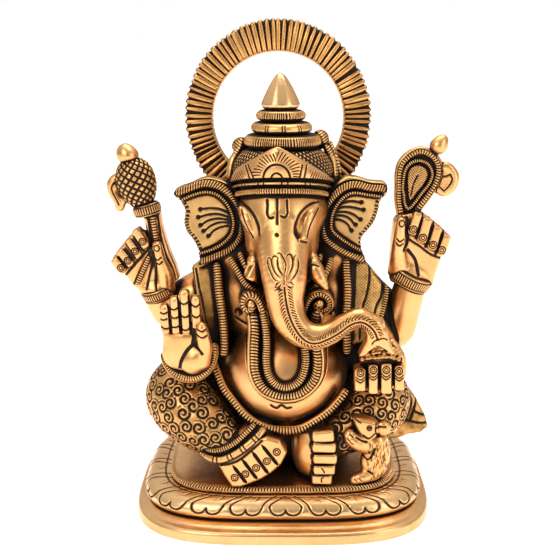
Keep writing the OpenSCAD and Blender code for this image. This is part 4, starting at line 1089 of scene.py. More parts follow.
    # sashes down the chest and the cloth on the shoulders
    strip("sash_strips",
        band([(-33.4, -18.2, 133.6), (-32.7, -21.4, 127.5), (-32.1, -24.5, 120.4),
        (-31.1, -26.8, 113.3), (-30.1, -29, 106.1), (-29.6, -31, 98.8), (-29.6, -32, 93.4),
        (-30.2, -32, 88)], 2.1, 1.5, "rib", 1.4, amp=0.35, back=root),
        band([(31.8, -17.6, 137), (32.0, -20.0, 129.8), (32.4, -23.6, 122.8), (32.3, -26, 115.6),
        (31.8, -28.3, 108.4), (31.8, -30.3, 101.1), (32.2, -31.8, 93.9), (32.4, -32, 89)], 2.05,
        1.5, "rib", 1.4, amp=0.35, back=root))
    c = Clay((-52, -36, 84), (60, 0, 140), h=0.38)
    c.sheet([(-46.4, 130), (-41, 134), (-34.5, 135), (-32.5, 120), (-31.5, 98), (-32, 90),
        (-36, 92), (-40, 102), (-42.6, 112), (-45, 121)], lambda x, z: -12.4 - (130 - z) * 0.30,
        5.0, 2.0)
    c.sheet([(32, 136), (40, 134), (44.1, 130.9), (48.4, 125.6), (51.8, 121.6), (52.6, 116),
        (51.4, 110), (48.8, 103), (46, 97), (40, 93), (33, 92), (32, 110)], lambda x,
        z: -12.6 - (130 - z) * 0.27 + 0.012 * np.maximum(x - 36, 0) ** 2, 5.0, 2.0)
    p = c.part("cloth_panels", "engraved_brass", "aged", 1)
    p.hatch(lambda v, n: (v[:, 0] > 37.4) & (n[:, 1] < 0.2), 48, -42, 1.15, 0.16, 0.17, 0.45)
    p.hatch(lambda v, n: (v[:, 0] < -44.4 + (130 - v[:, 2]) * 0.16) & (n[:, 1] < 0.2), 8, None, 1.6,
        0.25, 0.3, 0.7)
    p.carve([[(44.4, 131.3), (43.9, 123.2), (42.3, 115.9), (40.7, 111.2), (39.3, 101.4), (39, 95)],
        [(51.3, 122.7), (50.3, 115.9), (47.7, 111.1), (46.2, 105), (44.4, 99)]], 0.62, 0.5, 0.3)
    p.carve([[(-44.1, 130.0), (-42.6, 121.7), (-41.1, 115.4), (-39.6, 108), (-38, 99)]], 0.55, 0.5,
        0.3)
    moat(p, [(-36.1, 132.4), (-34.6, 120.8), (-33.4, 108), (-32.6, 96)], 1.5, 0.3, 1.2)
    moat(p, [(36.4, 134), (36.2, 122), (35.4, 110), (35.2, 96)], 1.0, 0.3, 0.7)
    x, y, z = p.v.T
    p.cut = np.maximum(p.cut, 0.30 * (x < 0) * (x > -43) + 0.45 * (1 - ease(96, 112, z)))
    trim = band([(53.2, -16, 121), (52.7, -17.4, 116), (51.6, -18.6, 111), (50.2, -20, 106),
        (47.6, -22, 100)], 1.5, 1.5, "rib", 1.25, amp=0.4)
    v, f, g = merge((p.v, p.f, p.cut), flip_out(trim))
    p.v, p.f, p.cut = v, f, g

    # folded ends of the sash beyond the knees
    c = Clay((-80, -16, 23), (86, 8, 84), h=0.5)
    c.chain([(-64, 0, 66, 3.6), (-68.4, -3, 57, 3.6), (-67.6, -4, 50.0, 3.4)], 1)
    c.egg((-66, -5, 48.6), (5.4, 3.4, 3.4), 1)
    c.sheet(SASH_R, lambda x, z: -4 + 0.0 * x, 4.2, 1.8)
    p = c.part("sash_ends", "engraved_brass", "aged", 1)
    p.carve([[(-72, 57), (-68, 56.4), (-64, 58)], [(-72, 52), (-68, 51), (-64, 52.4)],
        [(79, 42.6), (75, 42.0), (70.5, 42.6), (66, 44)], [(71.8, 55.8), (70.4, 50), (68.6, 44)],
        [(76, 46.5), (73, 47.6), (70.4, 49)]], 0.6, 0.5, 0.4)
    p.cut = np.maximum(p.cut, 0.35 + 0.3 * (p.v[:, 0] < 0))


def make_legs():
    """The folded legs in their scrolled cloth, the feet and the anklet."""
    def lit(v, n):
        return (n[:, 1] < 0.75) & (v[:, 2] > 24.5)
    c = Clay((-76, -54, 21), (4, 24, 86), h=0.5)
    c.chain([(-18, 0, 45, 19), (-48, -8, 59, 20.8), (-51.4, -16, 58.6, 20.0), (-43, -26, 52, 16.6),
        (-28, -36, 43.0, 10.4)], 0, step=3)
    c.floor(SEAT_TOP)
    p = c.part("leg_l", "engraved_brass", "cut", 2)
    p.spirals(5.5, 4.1, 11, lambda v, n: lit(v, n)
        & ((v[:, 0] + 36) * 0.62 + (42 - v[:, 2]) * 0.78 < 3.0), 2.35, 1, 0.6)
    p.cut = np.maximum(p.cut, 0.16)
    c = Clay((-4, -50, 21), (74, 24, 82), h=0.5)
    c.chain([(18, 0, 45, 19), (45, -6, 57, 19.6), (48, -14, 55, 18.4), (40, -24, 49, 14),
        (24, -29, 43, 11)], 0, step=3)
    c.floor(SEAT_TOP)
    p = c.part("leg_r", "engraved_brass", "cut", 2)
    p.spirals(5.4, 4.0, 5, lit, 2.3, -1, 0.6)
    p.cut = np.maximum(p.cut, 0.16)

    strip("anklet_l",
        band([(-41.5, -37, 42.6), (-36.1, -43.4, 42.2), (-30.5, -45.6, 43.6), (-24, -46, 47.1),
        (-17.4, -44.6, 53.0), (-14, -42, 56)], 1.55, 1.7, "rib", 1.2, amp=0.35),
        band([(-41.4, -38, 39.0), (-36.5, -45, 38.5), (-30.5, -47.4, 38.9), (-23.9, -48, 42.1),
        (-17.9, -47.6, 46.4), (-11.9, -45.4, 51.3), (-9, -42, 54)], 1.75, 1.7, "pairs", 1.3))
    c = Clay((-46, -56, 19), (10, -22, 62), h=0.32)
    c.chain([(-31, -36, 38.6, 6.0), (-22, -37, 42, 8.4), (-11, -36, 49, 7.6)], 2)
    c.sheet([(-32, 35), (-29.6, 30), (-25.6, 23.6), (-21.4, 23.6), (-16.4, 25.6), (-10.8, 28.0),
        (-5.4, 31.6), (-0.4, 36.6), (2.1, 42.4), (-1.2, 48.8), (-8, 51), (-14, 49), (-20, 44.5),
        (-27, 40)], lambda x, z: -42.6 + 0 * x, 5.6, 1.8, 1.0)
    p = c.part("foot_l")
    p.v[:, 2] = np.maximum(p.v[:, 2], SEAT_TOP + 0.05)
    p.carve([[(-24.9, 35.6), (-18.0, 25.6)], [(-20.2, 39.0), (-12.6, 27.8)],
        [(-15.2, 43.2), (-7.0, 30.8)], [(-10.4, 46.8), (-2.2, 35.6)]], 0.72, 1.5, 0.9, taper=2.2)
    nails(p, [(-24.2, 29.2), (-18.8, 31.2), (-13.4, 34.6), (-8.0, 38.2), (-3.0, 43.2)], 1.75)
    p.carve([[(-31.5, 36.0), (-26, 37.0), (-21.0, 39.4), (-15.4, 44.3), (-10.4, 49.1)]], 0.6, 0.4)
    c = Clay((0, -54, 21), (34, -18, 62), h=0.4)
    c.egg((13, -30, 39), (8.6, 11.5, 17))
    c.chain([(17, -35, 50, 5.4), (18, -37, 39, 6.6), (17, -36, 28, 5)], 3)
    for k, (x, z, w) in enumerate(((20.2, 50.0, 5.6), (20.6, 44.2, 6.1), (21.2, 38.0, 6.2),
            (20.8, 32.0, 5.7), (19.8, 26.8, 5.2))):
        c.box((x, -41.6, z), (w, 4.6, 2.85 if k else 3.2), 1.5, 0, rot=(0, -6 if k == 0 else 2, 0))
    c.floor(SEAT_TOP)
    p = c.part("foot_r")
    p.carve([[(14.0, 47.6), (20, 47.2), (28, 47.2)], [(14.6, 41.0), (20, 41.1), (29, 41.2)],
        [(14.8, 34.9), (20, 35), (29, 35.1)], [(14.6, 29.4), (20, 29.4), (28, 29.4)],
        [(14.4, 51.4), (13.6, 49.6), (14.6, 47.8)], [(14.8, 46.6), (13.8, 44.2), (15, 41.6)],
        [(15.2, 40.2), (14.4, 38), (15.4, 35.6)], [(15.4, 34.4), (14.6, 32), (15.6, 30)]], 0.42,
        0.3, 0.8)
    p.carve([[(19.6, 33.4), (20.4, 32.2), (21.0, 30.8)],
        [(20.4, 28.4), (19.4, 27.4), (19.6, 25.8)]], 0.35, 0.35)


def make_arms():
    """The four arms, the bracelets and the cuff."""
    c = Clay((-80, -26, 86), (-18, 18, 134), h=0.6)
    c.chain([(-32, 0, 118, 12.5), (-50, -4, 111, 10.8), (-57.5, -6, 104, 9.8), (-61, -9, 108, 8.8),
        (-65.4, -12, 116, 7.4)], 2, step=3)
    c.part("arm_back_l", smooth=2)
    c = Clay((24, -26, 76), (82, 18, 136), h=0.6)
    c.chain([(34, 0, 118, 12.5), (50, -3, 106, 11.8), (59.4, -6, 93.6, 9.4), (62.6, -10, 106, 9.0),
        (65.4, -12, 119, 8.2)], 2, step=3)
    p = c.part("arm_back_r", smooth=2)
    p.carve([[(53.6, 115.0), (54.6, 112.4), (56.7, 101.7), (59, 93.5), (59.7, 88)],
        [(52.2, 96.9), (54.8, 95.8), (57.4, 92.6)]], 0.6, 0.5, 0.3)
    # Painted shade on the part of the upper arm behind the shoulder cloth.
    p.cut = np.maximum(p.cut, 0.5 * (1 - ease(52.5, 55.5, p.v[:, 0])) * (p.v[:, 2] < 122))
    c = Clay((-64, -44, 74), (-22, 14, 128), h=0.6)
    c.chain([(-36, -4, 113, 11), (-43.6, -13, 98, 11), (-47, -24, 90, 9.6)], 2, step=3)
    p = c.part("arm_front_l", smooth=2)
    # Painted shade on the shoulder end of the arm, where it meets the body.
    p.cut = np.maximum(p.cut, 0.6 * ease(-46, -41, p.v[:, 0]))
    c = Clay((22, -42, 66), (64, 14, 128), h=0.6)
    c.chain([(38, -4, 110, 12), (47, -14, 92, 11), (49, -26, 82, 8.6)], 2, step=3)
    p = c.part("arm_front_r", smooth=2)
    # Painted shade on the shoulder end of the arm, where it meets the body.
    p.cut = np.maximum(p.cut, 0.6 * (1 - ease(46, 56, p.v[:, 0])))

    def cuff(node, at, rot, r, h, count):
        pr = np.vstack([[(r * 0.5, -h / 2)],
            spline([(r - 1.6, -h / 2), (r - 0.5, -h / 2 + 0.3), (r, -h * 0.2), (r, h * 0.2),
            (r - 0.5, h / 2 - 0.3), (r - 1.6, h / 2)], 0.35), [(r * 0.5, h / 2)]])

        def pat(th, run, q):
            m = (1 - ease(h * 0.30, h * 0.36, np.abs(q[:, 1])))[None] * (q[:, 0] > r * 0.8)[None]
            edge = ((1 - ease(0.15, 0.5, np.abs(np.abs(q[:, 1]) - h * 0.36)))[None]
                * (q[:, 0] > r * 0.8)[None])
            return np.maximum(groove(th * count / (2 * math.pi), 0.13, 0.32) * m, edge)
        v, f, g = lathe(pr, int(count * 8 / COARSE), pat, at=at, rot=rot, closed=True,
            scale=(1, 0.92), amp=0.4)
        p = Part(node, v, f, "engraved_brass", "cut")
        p.cut, p.thin = g, True
    cuff("bracelet_l", (-64.2, -12.4, 117.4), (14, -20, 0), 9.2, 6.0, 46)
    cuff("bracelet_r", (65.4, -12.4, 124.6), (10, 25, 0), 11.8, 6.8, 56)
    strip("cuff_front_l",
        band([(-59.4, -33, 91), (-58.4, -35, 86.9), (-55.6, -36, 82.3), (-51.1, -37, 79.3),
        (-45.6, -37, 78.2), (-40.1, -36.6, 80.3), (-36.2, -35.4, 84.9), (-34.5, -34, 91.1),
        (-35, -32, 95.3)], 2.5, 2.0, "mid", 1.2, amp=0.35))


def make_hands():
    """The four hands."""
    # open palm, front left of the view
    c = Clay((-66, -50, 74), (-32, -26, 128), h=0.33)
    c.chain([(-55, -37, 101, 4.6), (-49, -37.6, 101, 5), (-43.6, -37.4, 101, 4.8)], 0, bend=False)
    c.egg((-53.6, -37, 92), (6.4, 5.2, 8.4), 3)
    c.egg((-45.6, -37.4, 88.4), (9, 6.0, 6.4), 3)
    c.egg((-48.6, -37, 96), (9, 5.6, 7), 3)
    c.egg((-43.4, -41.0, 89), (5.6, 4.2, 7.4), 2, rot=(0, 24, 0))
    for x0, x1, z, w in ((-57.2, -57.9, 117.0, 2.1), (-52.3, -53.0, 121.0, 2.1),
            (-47.2, -48.0, 124.4, 2.2), (-42.2, -42.6, 121.4, 2.15)):
        bar(c, (x1, z), (x0, 103), w, -39.4, 3.6, 1.9, 0, 0.4)
    c.chain([(-40.2, -40, 88, 4.4), (-38.4, -41.6, 96, 3.9), (-39.0, -42.4, 102, 3.4),
        (-39.6, -42.6, 106.4, 2.9)], 0.8)
    p = c.part("hand_front_l")
    p.carve([[(-59.6, 114.0), (-58.0, 113.4), (-56.3, 114.0)],
        [(-59.6, 110.6), (-58.1, 110.2), (-56.4, 110.8)],
        [(-59.6, 107.0), (-57.7, 105.8), (-55.9, 106)],
        [(-55, 116.0), (-53.0, 115.4), (-51.2, 116.2)],
        [(-55, 112.2), (-53.2, 111.2), (-51, 111.6)], [(-55, 107.2), (-53.2, 106.4),
        (-50.8, 107.0)],
        [(-50.4, 119.2), (-48.1, 118.2), (-45.8, 119.2)],
        [(-50.2, 112.8), (-47.8, 111.6), (-45.2, 112.6)],
        [(-50, 105.8), (-47.5, 105.0), (-45, 106.0)],
        [(-44.8, 118.2), (-42.2, 117.0), (-39.6, 118.4)],
        [(-44.6, 112.8), (-42.0, 111.6), (-39.4, 112.9)],
        [(-42, 106.2), (-39.6, 105.2), (-37.2, 106.0)],
        [(-42, 103.2), (-39.4, 102.0), (-36.8, 103.0)]], 0.45, 0.45)
    p.carve([[(-55.4, 119.4), (-55.0, 112), (-54.7, 103.4)],
        [(-50.5, 122.6), (-50.0, 112), (-49.7, 103.4)], [(-45.3, 122), (-45.0, 112), (-44.7, 103)]],
        0.7, 0.2, 0.7)
    p.carve([[(-44.2, 97.4), (-46.6, 95.2), (-48.7, 92.1), (-50.3, 88.4), (-50.9, 85.0)],
        [(-44.2, 97.4), (-43.5, 102.4), (-43.4, 105.4)],
        [(-39.4, 93.6), (-41.7, 96.2), (-43.6, 98.6)]], 0.7, 0.6)
    # fist under the bowl, front right of the view
    c = Clay((30, -54, 64), (68, -22, 104), h=0.3)
    c.egg((48.0, -35, 80), (11.4, 7, 10))
    c.egg((56, -36, 84), (5, 7, 8), 2)
    c.chain([(54, -38, 97, 2.2), (57.2, -39, 92, 2.8), (58.6, -39, 87, 3.0), (58.4, -39, 81, 3.0)],
        1)
    rows = ((37.85, 86.6, 74.6, 2.4), (44.25, 88.6, 73.2, 2.05), (50.65, 89.2, 73.2, 2.4),
        (57.0, 88.0, 75.0, 2.05))
    for x, hi, lo, w in rows:
        bar(c, (x, hi - 0.6), (x + 0.3, lo + 0.6), w, -42.4, 5.0, 1.3, 0, 0.5)
    p = c.part("hand_front_r")
    p.carve([[(x, 90), (x, 82), (x + 0.2, 73)] for x in (41.15, 47.3, 54.1)], 0.5, 0.1, 0.9)
    moat(p, [(36, 90.4), (44, 91.4), (52, 91.4), (58, 90)], 0.8, 0.2, 0.6)
    tips = [(38.0, 84.6), (44.3, 86.0), (50.6, 86.2), (56.9, 85.6)]
    nails(p, tips, 1.75)
    p.carve([[(x - 2.2, z - 2.2), (x, z - 3.6), (x + 2.2, z - 2.2)] for x, z in tips]
        + [[(x - 2.2, z - 3.6), (x, z - 5.0), (x + 2.2, z - 3.6)] for x, z in tips], 0.32, 0.3)
    # fist round the mace
    c = Clay((-94, -28, 108), (-50, -1, 158), h=0.3)
    c.sheet([(-85.8, 131.4), (-80.2, 126.0), (-76.2, 120.6), (-71.8, 116.6), (-62, 115.0),
        (-56.6, 118), (-57.4, 126), (-61, 136), (-66, 142), (-69.4, 148.4), (-73.8, 150),
        (-78.6, 145.4), (-83, 140), (-86.4, 135.4)], lambda x, z: -13.2 + 0 * x, 4.8, 2.0)
    c.egg((-64.6, -12.2, 119), (8.8, 8.2, 5), 2)
    for a, b, w in (((-74.1, 149.6), (-68.8, 141.4), 2.0), ((-78.3, 144.5), (-72.6, 136.2), 2.0),
            ((-82.6, 139.3), (-76.8, 132), 2.0), ((-85.3, 134.8), (-80.8, 128.7), 1.9)):
        bar(c, a, b, w, -15.0, 4.8, 1.3, 0, 0.6)
    c.chain([(-60, -14, 119, 5.0), (-59.8, -17, 127, 4.2), (-61.8, -18.6, 134, 3.2),
        (-63.2, -19.4, 142, 2.7)], 0.8)
    p = c.part("hand_back_l")
    nails(p, [(-70.4, 144.4), (-74.4, 139.4), (-78.2, 134.6), (-81.9, 130.8)], 1.75)
    p.rings([(-63.2, 141.4)], 1.5, 0.32, 0.35)
    p.carve([[(-64.6, 136.2), (-62.8, 135.2), (-61.0, 136.6)],
        [(-64.0, 134.0), (-62.2, 133.0), (-60.4, 134.4)]], 0.4, 0.4)
    p.carve([[(-74.9, 146.9), (-70.1, 139.2)], [(-79, 143.3), (-74.3, 135.6)],
        [(-82.9, 136.6), (-78.5, 130.9)], [(-65.6, 142.3), (-72.3, 135.4), (-79.7, 126.8)],
        [(-67.1, 138.7), (-70.9, 131.4), (-75.8, 122)],
        [(-64.9, 135.6), (-67.2, 128.3), (-69.4, 119.4)],
        [(-65.2, 139.7), (-63.9, 131.9), (-64.6, 124.1), (-64.0, 118.8)]], 0.55, 0.3, 0.8)
    # fist round the noose
    c = Clay((46, -28, 114), (94, 0, 170), h=0.3)
    c.sheet([(54.2, 130), (54.8, 144), (55.8, 154), (58, 157.6), (62, 158), (66, 159), (70, 158.6),
        (75, 155), (80, 151), (84.4, 146.6), (83.6, 141), (80.6, 135.6), (79.3, 132), (77.9, 127),
        (76.6, 121), (66, 118.5), (55.0, 123)], lambda x, z: -13.2 + 0 * x, 4.8, 2.0)
    c.egg((65.4, -12.2, 125.6), (9.6, 9.2, 5.4), 3, rot=(0, 22, 0))
    for a, b, w in (((67.8, 158.5), (64.6, 148.3), 2.3), ((72.4, 155.9), (69.8, 144.2), 2.3),
            ((77.6, 151.3), (75, 140.5), 2.2), ((82.3, 147.2), (79.6, 138), 2.1)):
        bar(c, a, b, w, -15.2, 4.8, 1.4, 0, 0.6)
    c.chain([(60.0, -15, 127, 5.6), (58.4, -17, 137, 4.0), (58.6, -18.6, 147, 3.2),
        (59.2, -19, 154.2, 2.8)], 0.8)
    p = c.part("hand_back_r")
    nails(p, [(65.2, 150.6), (70.2, 146.4), (75.4, 142.8), (80.0, 140.0)], 1.9)
    p.rings([(59.3, 154.0)], 1.5, 0.3, 0.35)
    p.carve([[(70, 158.3), (67.8, 150.2), (67.0, 146.2)],
        [(75.7, 153.8), (72.5, 143.5), (71.9, 141.4)],
        [(80.8, 149.7), (77.7, 139.9), (77.1, 137.6)],
        [(63.1, 145.6), (66, 143.6), (69.2, 141.6), (74.4, 137.7), (80.6, 135.2)]], 0.55, 0.3, 0.8)
    p.carve([[(63.2, 139.7), (66.4, 135.6), (67.8, 131.9), (68.7, 127.2)],
        [(61.8, 156.4), (61.8, 150), (62.6, 145), (61.0, 140.0)]], 0.7, 0.6)
    p.carve([[(56.8, 146.0), (58.6, 144.8), (60.6, 145.8)],
        [(56.6, 143.8), (58.4, 142.6), (60.4, 143.6)]], 0.4, 0.35)


def make_attributes():
    """The mace, the noose and the bowl of sweets."""
    # mace
    c = Clay((-78, -22, 110), (-46, -2, 168), h=0.45)
    c.sheet([(-61.9, 158.5), (-61.1, 151.8), (-59.3, 144), (-57.5, 137.8), (-54.6, 130.5),
        (-53, 124), (-58, 120), (-64, 124), (-66.5, 136), (-68.6, 146), (-70.3, 156), (-69, 160),
        (-65, 161)], lambda x, z: -10.6 + 0 * x, 4.6, 1.8)
    p = c.part("mace_rod", "engraved_brass", "brass", 1)
    p.carve([[(-67.9, 157), (-67.1, 150), (-66.2, 143)],
        [(-62.9, 157), (-62.2, 150), (-61.4, 143), (-60.4, 137)]], 0.6, 0.5, 0.3)
    v, f, g = merge((p.v, p.f, p.cut),
        flip_out(band([(-65.6, -15.4, 158), (-64.9, -15.8, 151.3), (-64.0, -16.0, 144.2)], 1.6, 1.6,
        "rib", 1.4, amp=0.4)),
        flip_out(band([(-67.4, -18.0, 136.8), (-71.0, -18.2, 128.8), (-74.2, -17.6, 121.4)], 1.45,
        1.4, "rib", 1.25, amp=0.35)))
    p.v, p.f, p.cut = v, f, g
    pr = np.vstack([[(2, -3.0)],
        spline([(6.2, -3.0), (7.0, -2.2), (7.2, 0), (6.9, 2.0), (6.0, 2.8)], 0.35), [(2, 2.8)]])
    v, f, g = lathe(pr, int(34 * 9 / COARSE), lambda th, run,
        q: np.maximum(groove(th * 34 / (2 * math.pi), 0.14, 0.34) * (np.abs(q[:, 1]) < 1.7)[None],
        (1 - ease(0.1, 0.5, np.abs(np.abs(q[:, 1]) - 2.1)))[None]) * (q[:, 0] > 5)[None],
        at=(-68.4, -14, 160), rot=(0, -14, 0), closed=True, amp=0.4)
    p = Part("mace_collar", v, f, "engraved_brass", "cut")
    p.cut, p.thin = g, True
    t = np.linspace(0, math.pi, int(110 / COARSE))
    r = 9.9 * np.sin(t) ** 0.86 * (1 - 0.10 * np.cos(t))
    z = -13.0 * np.cos(t)
    pr = np.stack([r, z], 1)

    def net(th, run, _):
        u = (run / run.max())
        k = 13.0
        a = groove(th * k / (2 * math.pi) + u * 9.5, 0.12, 0.26)
        b = groove(th * k / (2 * math.pi) - u * 9.5, 0.12, 0.26)
        return np.maximum(a, b) * ease(0.02, 0.08, u) * (1 - ease(0.93, 0.985, u))
    v, f, g = lathe(pr, int(420 / COARSE), net, at=(-73, -14, 173), rot=(0, -15, 0), amp=0.6)
    p = Part("mace_bud", v, f, "engraved_brass", "cut")
    p.cut = g
    c = Clay((-86, -22, 180), (-68, -6, 196), h=0.4)
    c.egg((-77.0, -14, 187.0), (5.5, 5.5, 4.6))
    c.egg((-78.2, -14, 189.6), (3.4, 3.4, 3.2), 2.5)
    c.part("mace_knob")
    c = Clay((-90, -20, 156), (-74, -8, 180), h=0.38)
    c.chain([(-79.6, -14, 174.4, 2.4), (-83.0, -14, 175.6, 2.4), (-85.6, -14, 172.8, 2.4),
        (-85.0, -14, 168.4, 2.4), (-82.8, -14, 164.2, 2.3), (-82.0, -14, 160.8, 2.1)], 0, step=1)
    c.chain([(-78, -14, 166.4, 2.6), (-80.6, -14, 164.0, 2.2), (-81.6, -14, 161.4, 2)], 1.5)
    c.egg((-82.6, -14, 171.4), (2.6, 2.4, 2.6), 1)
    c.egg((-81.6, -14, 168.4), (2.4, 1.8, 3.4), 1)
    p = c.part("mace_scroll")
    p.carve([[(-82.2, 170.4), (-81.6, 172.2), (-83.2, 173.6), (-85.0, 172.2), (-85.2, 169.6),
        (-83.6, 166.0), (-82.0, 162.6)]], 0.38, 0.4)
    # noose
    loop = [(64.0, -13, 156), (66.6, -13.6, 158.6), (69.1, -14, 162), (72.4, -14, 166.6),
        (75.7, -14, 172.1), (77.5, -14, 177.7), (77.0, -14, 183.2), (73.1, -14, 187.7),
        (67.6, -14, 189.2), (62.4, -14, 186.7), (59.1, -14, 182.8), (57.9, -14, 177.7),
        (58.0, -14, 171.1), (58.0, -14, 164.6), (59.2, -14, 158.5), (61, -13, 154)]
    inner = [(60.4, -16, 167.5), (59.7, -16, 171.4), (60.5, -16, 178.9), (62.9, -16, 183.0),
        (67, -16, 184.6), (71.8, -16, 183.0), (74.2, -16, 178.4), (72.9, -16, 173.4),
        (69.3, -16, 168.4), (65.8, -16, 163.4), (62.8, -16, 160.6), (61.0, -16, 163.4)]
    strip("noose_loop", band(loop, 2.25, 2.6, "inner", 1.35, up=(0, -1, 0), back=1.0, amp=0.4),
        band(inner, 0.85, 1.4, "rib", 1.05, closed=True, up=(0, -1, 0), back=1.0, amp=0.25))
    c = Clay((54, -20, 152), (82, -8, 192), h=0.36)
    c.sheet(spline([(57.6, 172), (58.4, 182), (62.4, 186.6), (67.6, 188.6), (73.1, 187),
        (76.6, 182), (76.6, 177), (74, 171), (69, 163), (64.5, 157.5), (61, 157), (58.4, 164)], 0.6,
        True)[:-1], lambda x, z: -12.6 + 0 * x, 1.5, 0.7)
    c.sheet(spline([(62, 174.8), (62.3, 179.3), (64.7, 181.8), (68.2, 182.3), (71.2, 180.3),
        (72.1, 176.8), (70, 172.3), (67.2, 168.8), (63.8, 164.7), (62.7, 168.8)], 0.6, True)[:-1],
        lambda x, z: -14.4 + 0 * x, 2.0, 0.7)
    p = c.part("noose_leaf", "engraved_brass", "cut", 1)
    p.cut = np.maximum(p.cut, ease(-15.8, -14.9, p.v[:, 1]) * (p.v[:, 1] < -11.6))
    p.carve([[(67, 177.2), (65.1, 173.2), (64.3, 169.2), (63.8, 167.2)]], 0.45, 0.4)
    p.hatch(lambda v, n: (n[:, 1] < -0.5) & (v[:, 1] < -15.6)
        & (v[:, 0] > 65.6 + (v[:, 2] - 174) * 0.35), 118, None, 0.95, 0.15, 0.2, 0.7)
    p.hatch(lambda v, n: (n[:, 1] < -0.5) & (v[:, 1] < -15.6)
        & (v[:, 0] < 65.2 + (v[:, 2] - 174) * 0.35), 40, None, 0.95, 0.15, 0.2, 0.7)
    c = Clay((70, -22, 184), (88, -6, 202), h=0.4)
    c.egg((77.0, -14, 191.4), (4.4, 4.4, 4.0), rot=(0, 24, 0))
    c.egg((78.8, -14, 194.0), (3.0, 3.0, 3.4), 2.5, rot=(0, 24, 0))
    c.part("noose_knob")
    c = Clay((74, -20, 162), (92, -8, 186), h=0.38)
    c.chain([(78.4, -14, 181.6, 2.2), (82.4, -14, 181.0, 2.4), (85.5, -14, 176.6, 2.5),
        (84.6, -14, 171.4, 2.5), (80.6, -14, 168.6, 2.4), (77, -14, 170.6, 2.2)], 0, step=1)
    c.sheet(spline([(78, 181), (83, 180), (85.6, 176), (84.4, 171), (80.6, 169), (77, 172)], 0.6,
        True)[:-1], lambda x, z: -14.0 + 0 * x, 2.0, 0.8, 1)
    p = c.part("noose_curl")
    p.carve([[(79.4, 176.6), (81.6, 177.0), (83.2, 177.8)],
        [(83.2, 177.8), (84.2, 175.2), (82.6, 171.6), (80.4, 169.4)],
        [(77.6, 172.0), (79.2, 170.6), (80.4, 169.4)]], 0.4, 0.4)
    # sweets
    rng = np.random.default_rng(3)
    c = Clay((34, -54, 82), (64, -32, 102), h=0.38)
    c.egg((47.6, -40.6, 90.4), (9.8, 4.6, 4.4))
    for k in range(30):
        row, u = k // 10, (k % 10) / 9.0
        c.egg((39.2 + u * 17.2 + rng.uniform(-0.4, 0.4) + (row % 2) * 0.8, -44.4 + row * 0.8,
            91.0 + row * 2.0 + 1.2 * math.sin(u * math.pi) + rng.uniform(-0.4, 0.4)),
            (1.3, 1.9, 1.3), 0.2)
    p = c.part("sweet_bowl", "engraved_brass", "cut", 1)
    p.cut = np.maximum(p.cut, 0.25)


def make_mouse():
    """The mouse at the front right of the seat."""
    c = Clay((26, -54, 21), (62, -24, 68), h=0.32)
    c.chain([(47.2, -36, 30.6, 7.0), (47.8, -37, 38, 7.2), (47.2, -38.6, 45, 6.2)], 0)
    c.sheet(spline([(35.2, 60.2), (40, 59.6), (43.7, 58.6), (47.0, 57.0), (48.3, 53), (46.5, 49.3),
        (44, 47.6), (40.9, 48.7), (38.0, 51.8), (36.7, 54.5), (35.4, 58)], 0.6, True)[:-1],
        lambda x, z: -41.2 + 0 * x, 4.4, 2.2, 1.0)
    c.egg((50.4, -42.0, 53.2), (3.8, 2.2, 4.0), 0.3)
    c.chain([(33.4, -43.6, 50.8, 3.0), (35.2, -43.8, 48.2, 4.0), (38.8, -43.6, 45.8, 4.2),
        (42.6, -41.8, 44.2, 4.4)], 1.5)
    c.chain([(46, -40, 28.2, 4.2), (41, -42.4, 27.2, 3.4), (36.6, -43.4, 26.2, 2.6)], 1.0)
    c.egg((43.4, -40.6, 34.6), (4.2, 4.2, 6.4), 1.5)
    c.floor(SEAT_TOP)
    p = c.part("mouse")
    p.rings([(43.2, 54.9)], 1.2, 0.3, 0.3)
    p.rings([(43.2, 54.9)], 0.4, 0.3, 0.25)
    p.carve([[(35.9, 59.9), (37.4, 58.6), (38.9, 57.8)], [(40.2, 50.8), (43.1, 49.2), (46, 51.7)],
        [(47.1, 54.8), (49.4, 54.9), (51.6, 54.8)], [(46.7, 56.9), (46.3, 53.2), (48.0, 49.6)],
        [(40.6, 38.7), (43, 37.4), (45.5, 40.2), (46, 43.4)], [(43, 31), (45.2, 29.6)],
        [(36.6, 50.4), (39.6, 48.6), (42, 47.6)]], 0.42, 0.4)
    p.carve([[(33.5, 51.8), (35, 50.7)], [(32, 49.7), (33.5, 48.6)], [(33.5, 48), (35.1, 47)],
        [(36.4, 27.2), (37.4, 26)], [(38.8, 27.6), (39.8, 26)]], 0.3, 0.3)
    rng = np.random.default_rng(9)
    hairs = []
    for _ in range(110):
        x, z = rng.uniform(42.5, 54), rng.uniform(27, 47)
        hairs.append([(x, z), (x + rng.uniform(-0.3, 0.3), z - 0.9),
            (x + rng.uniform(-0.5, 0.5), z - 1.9)])
    p.carve(hairs, 0.22, 0.18, 0.0, 0.6)
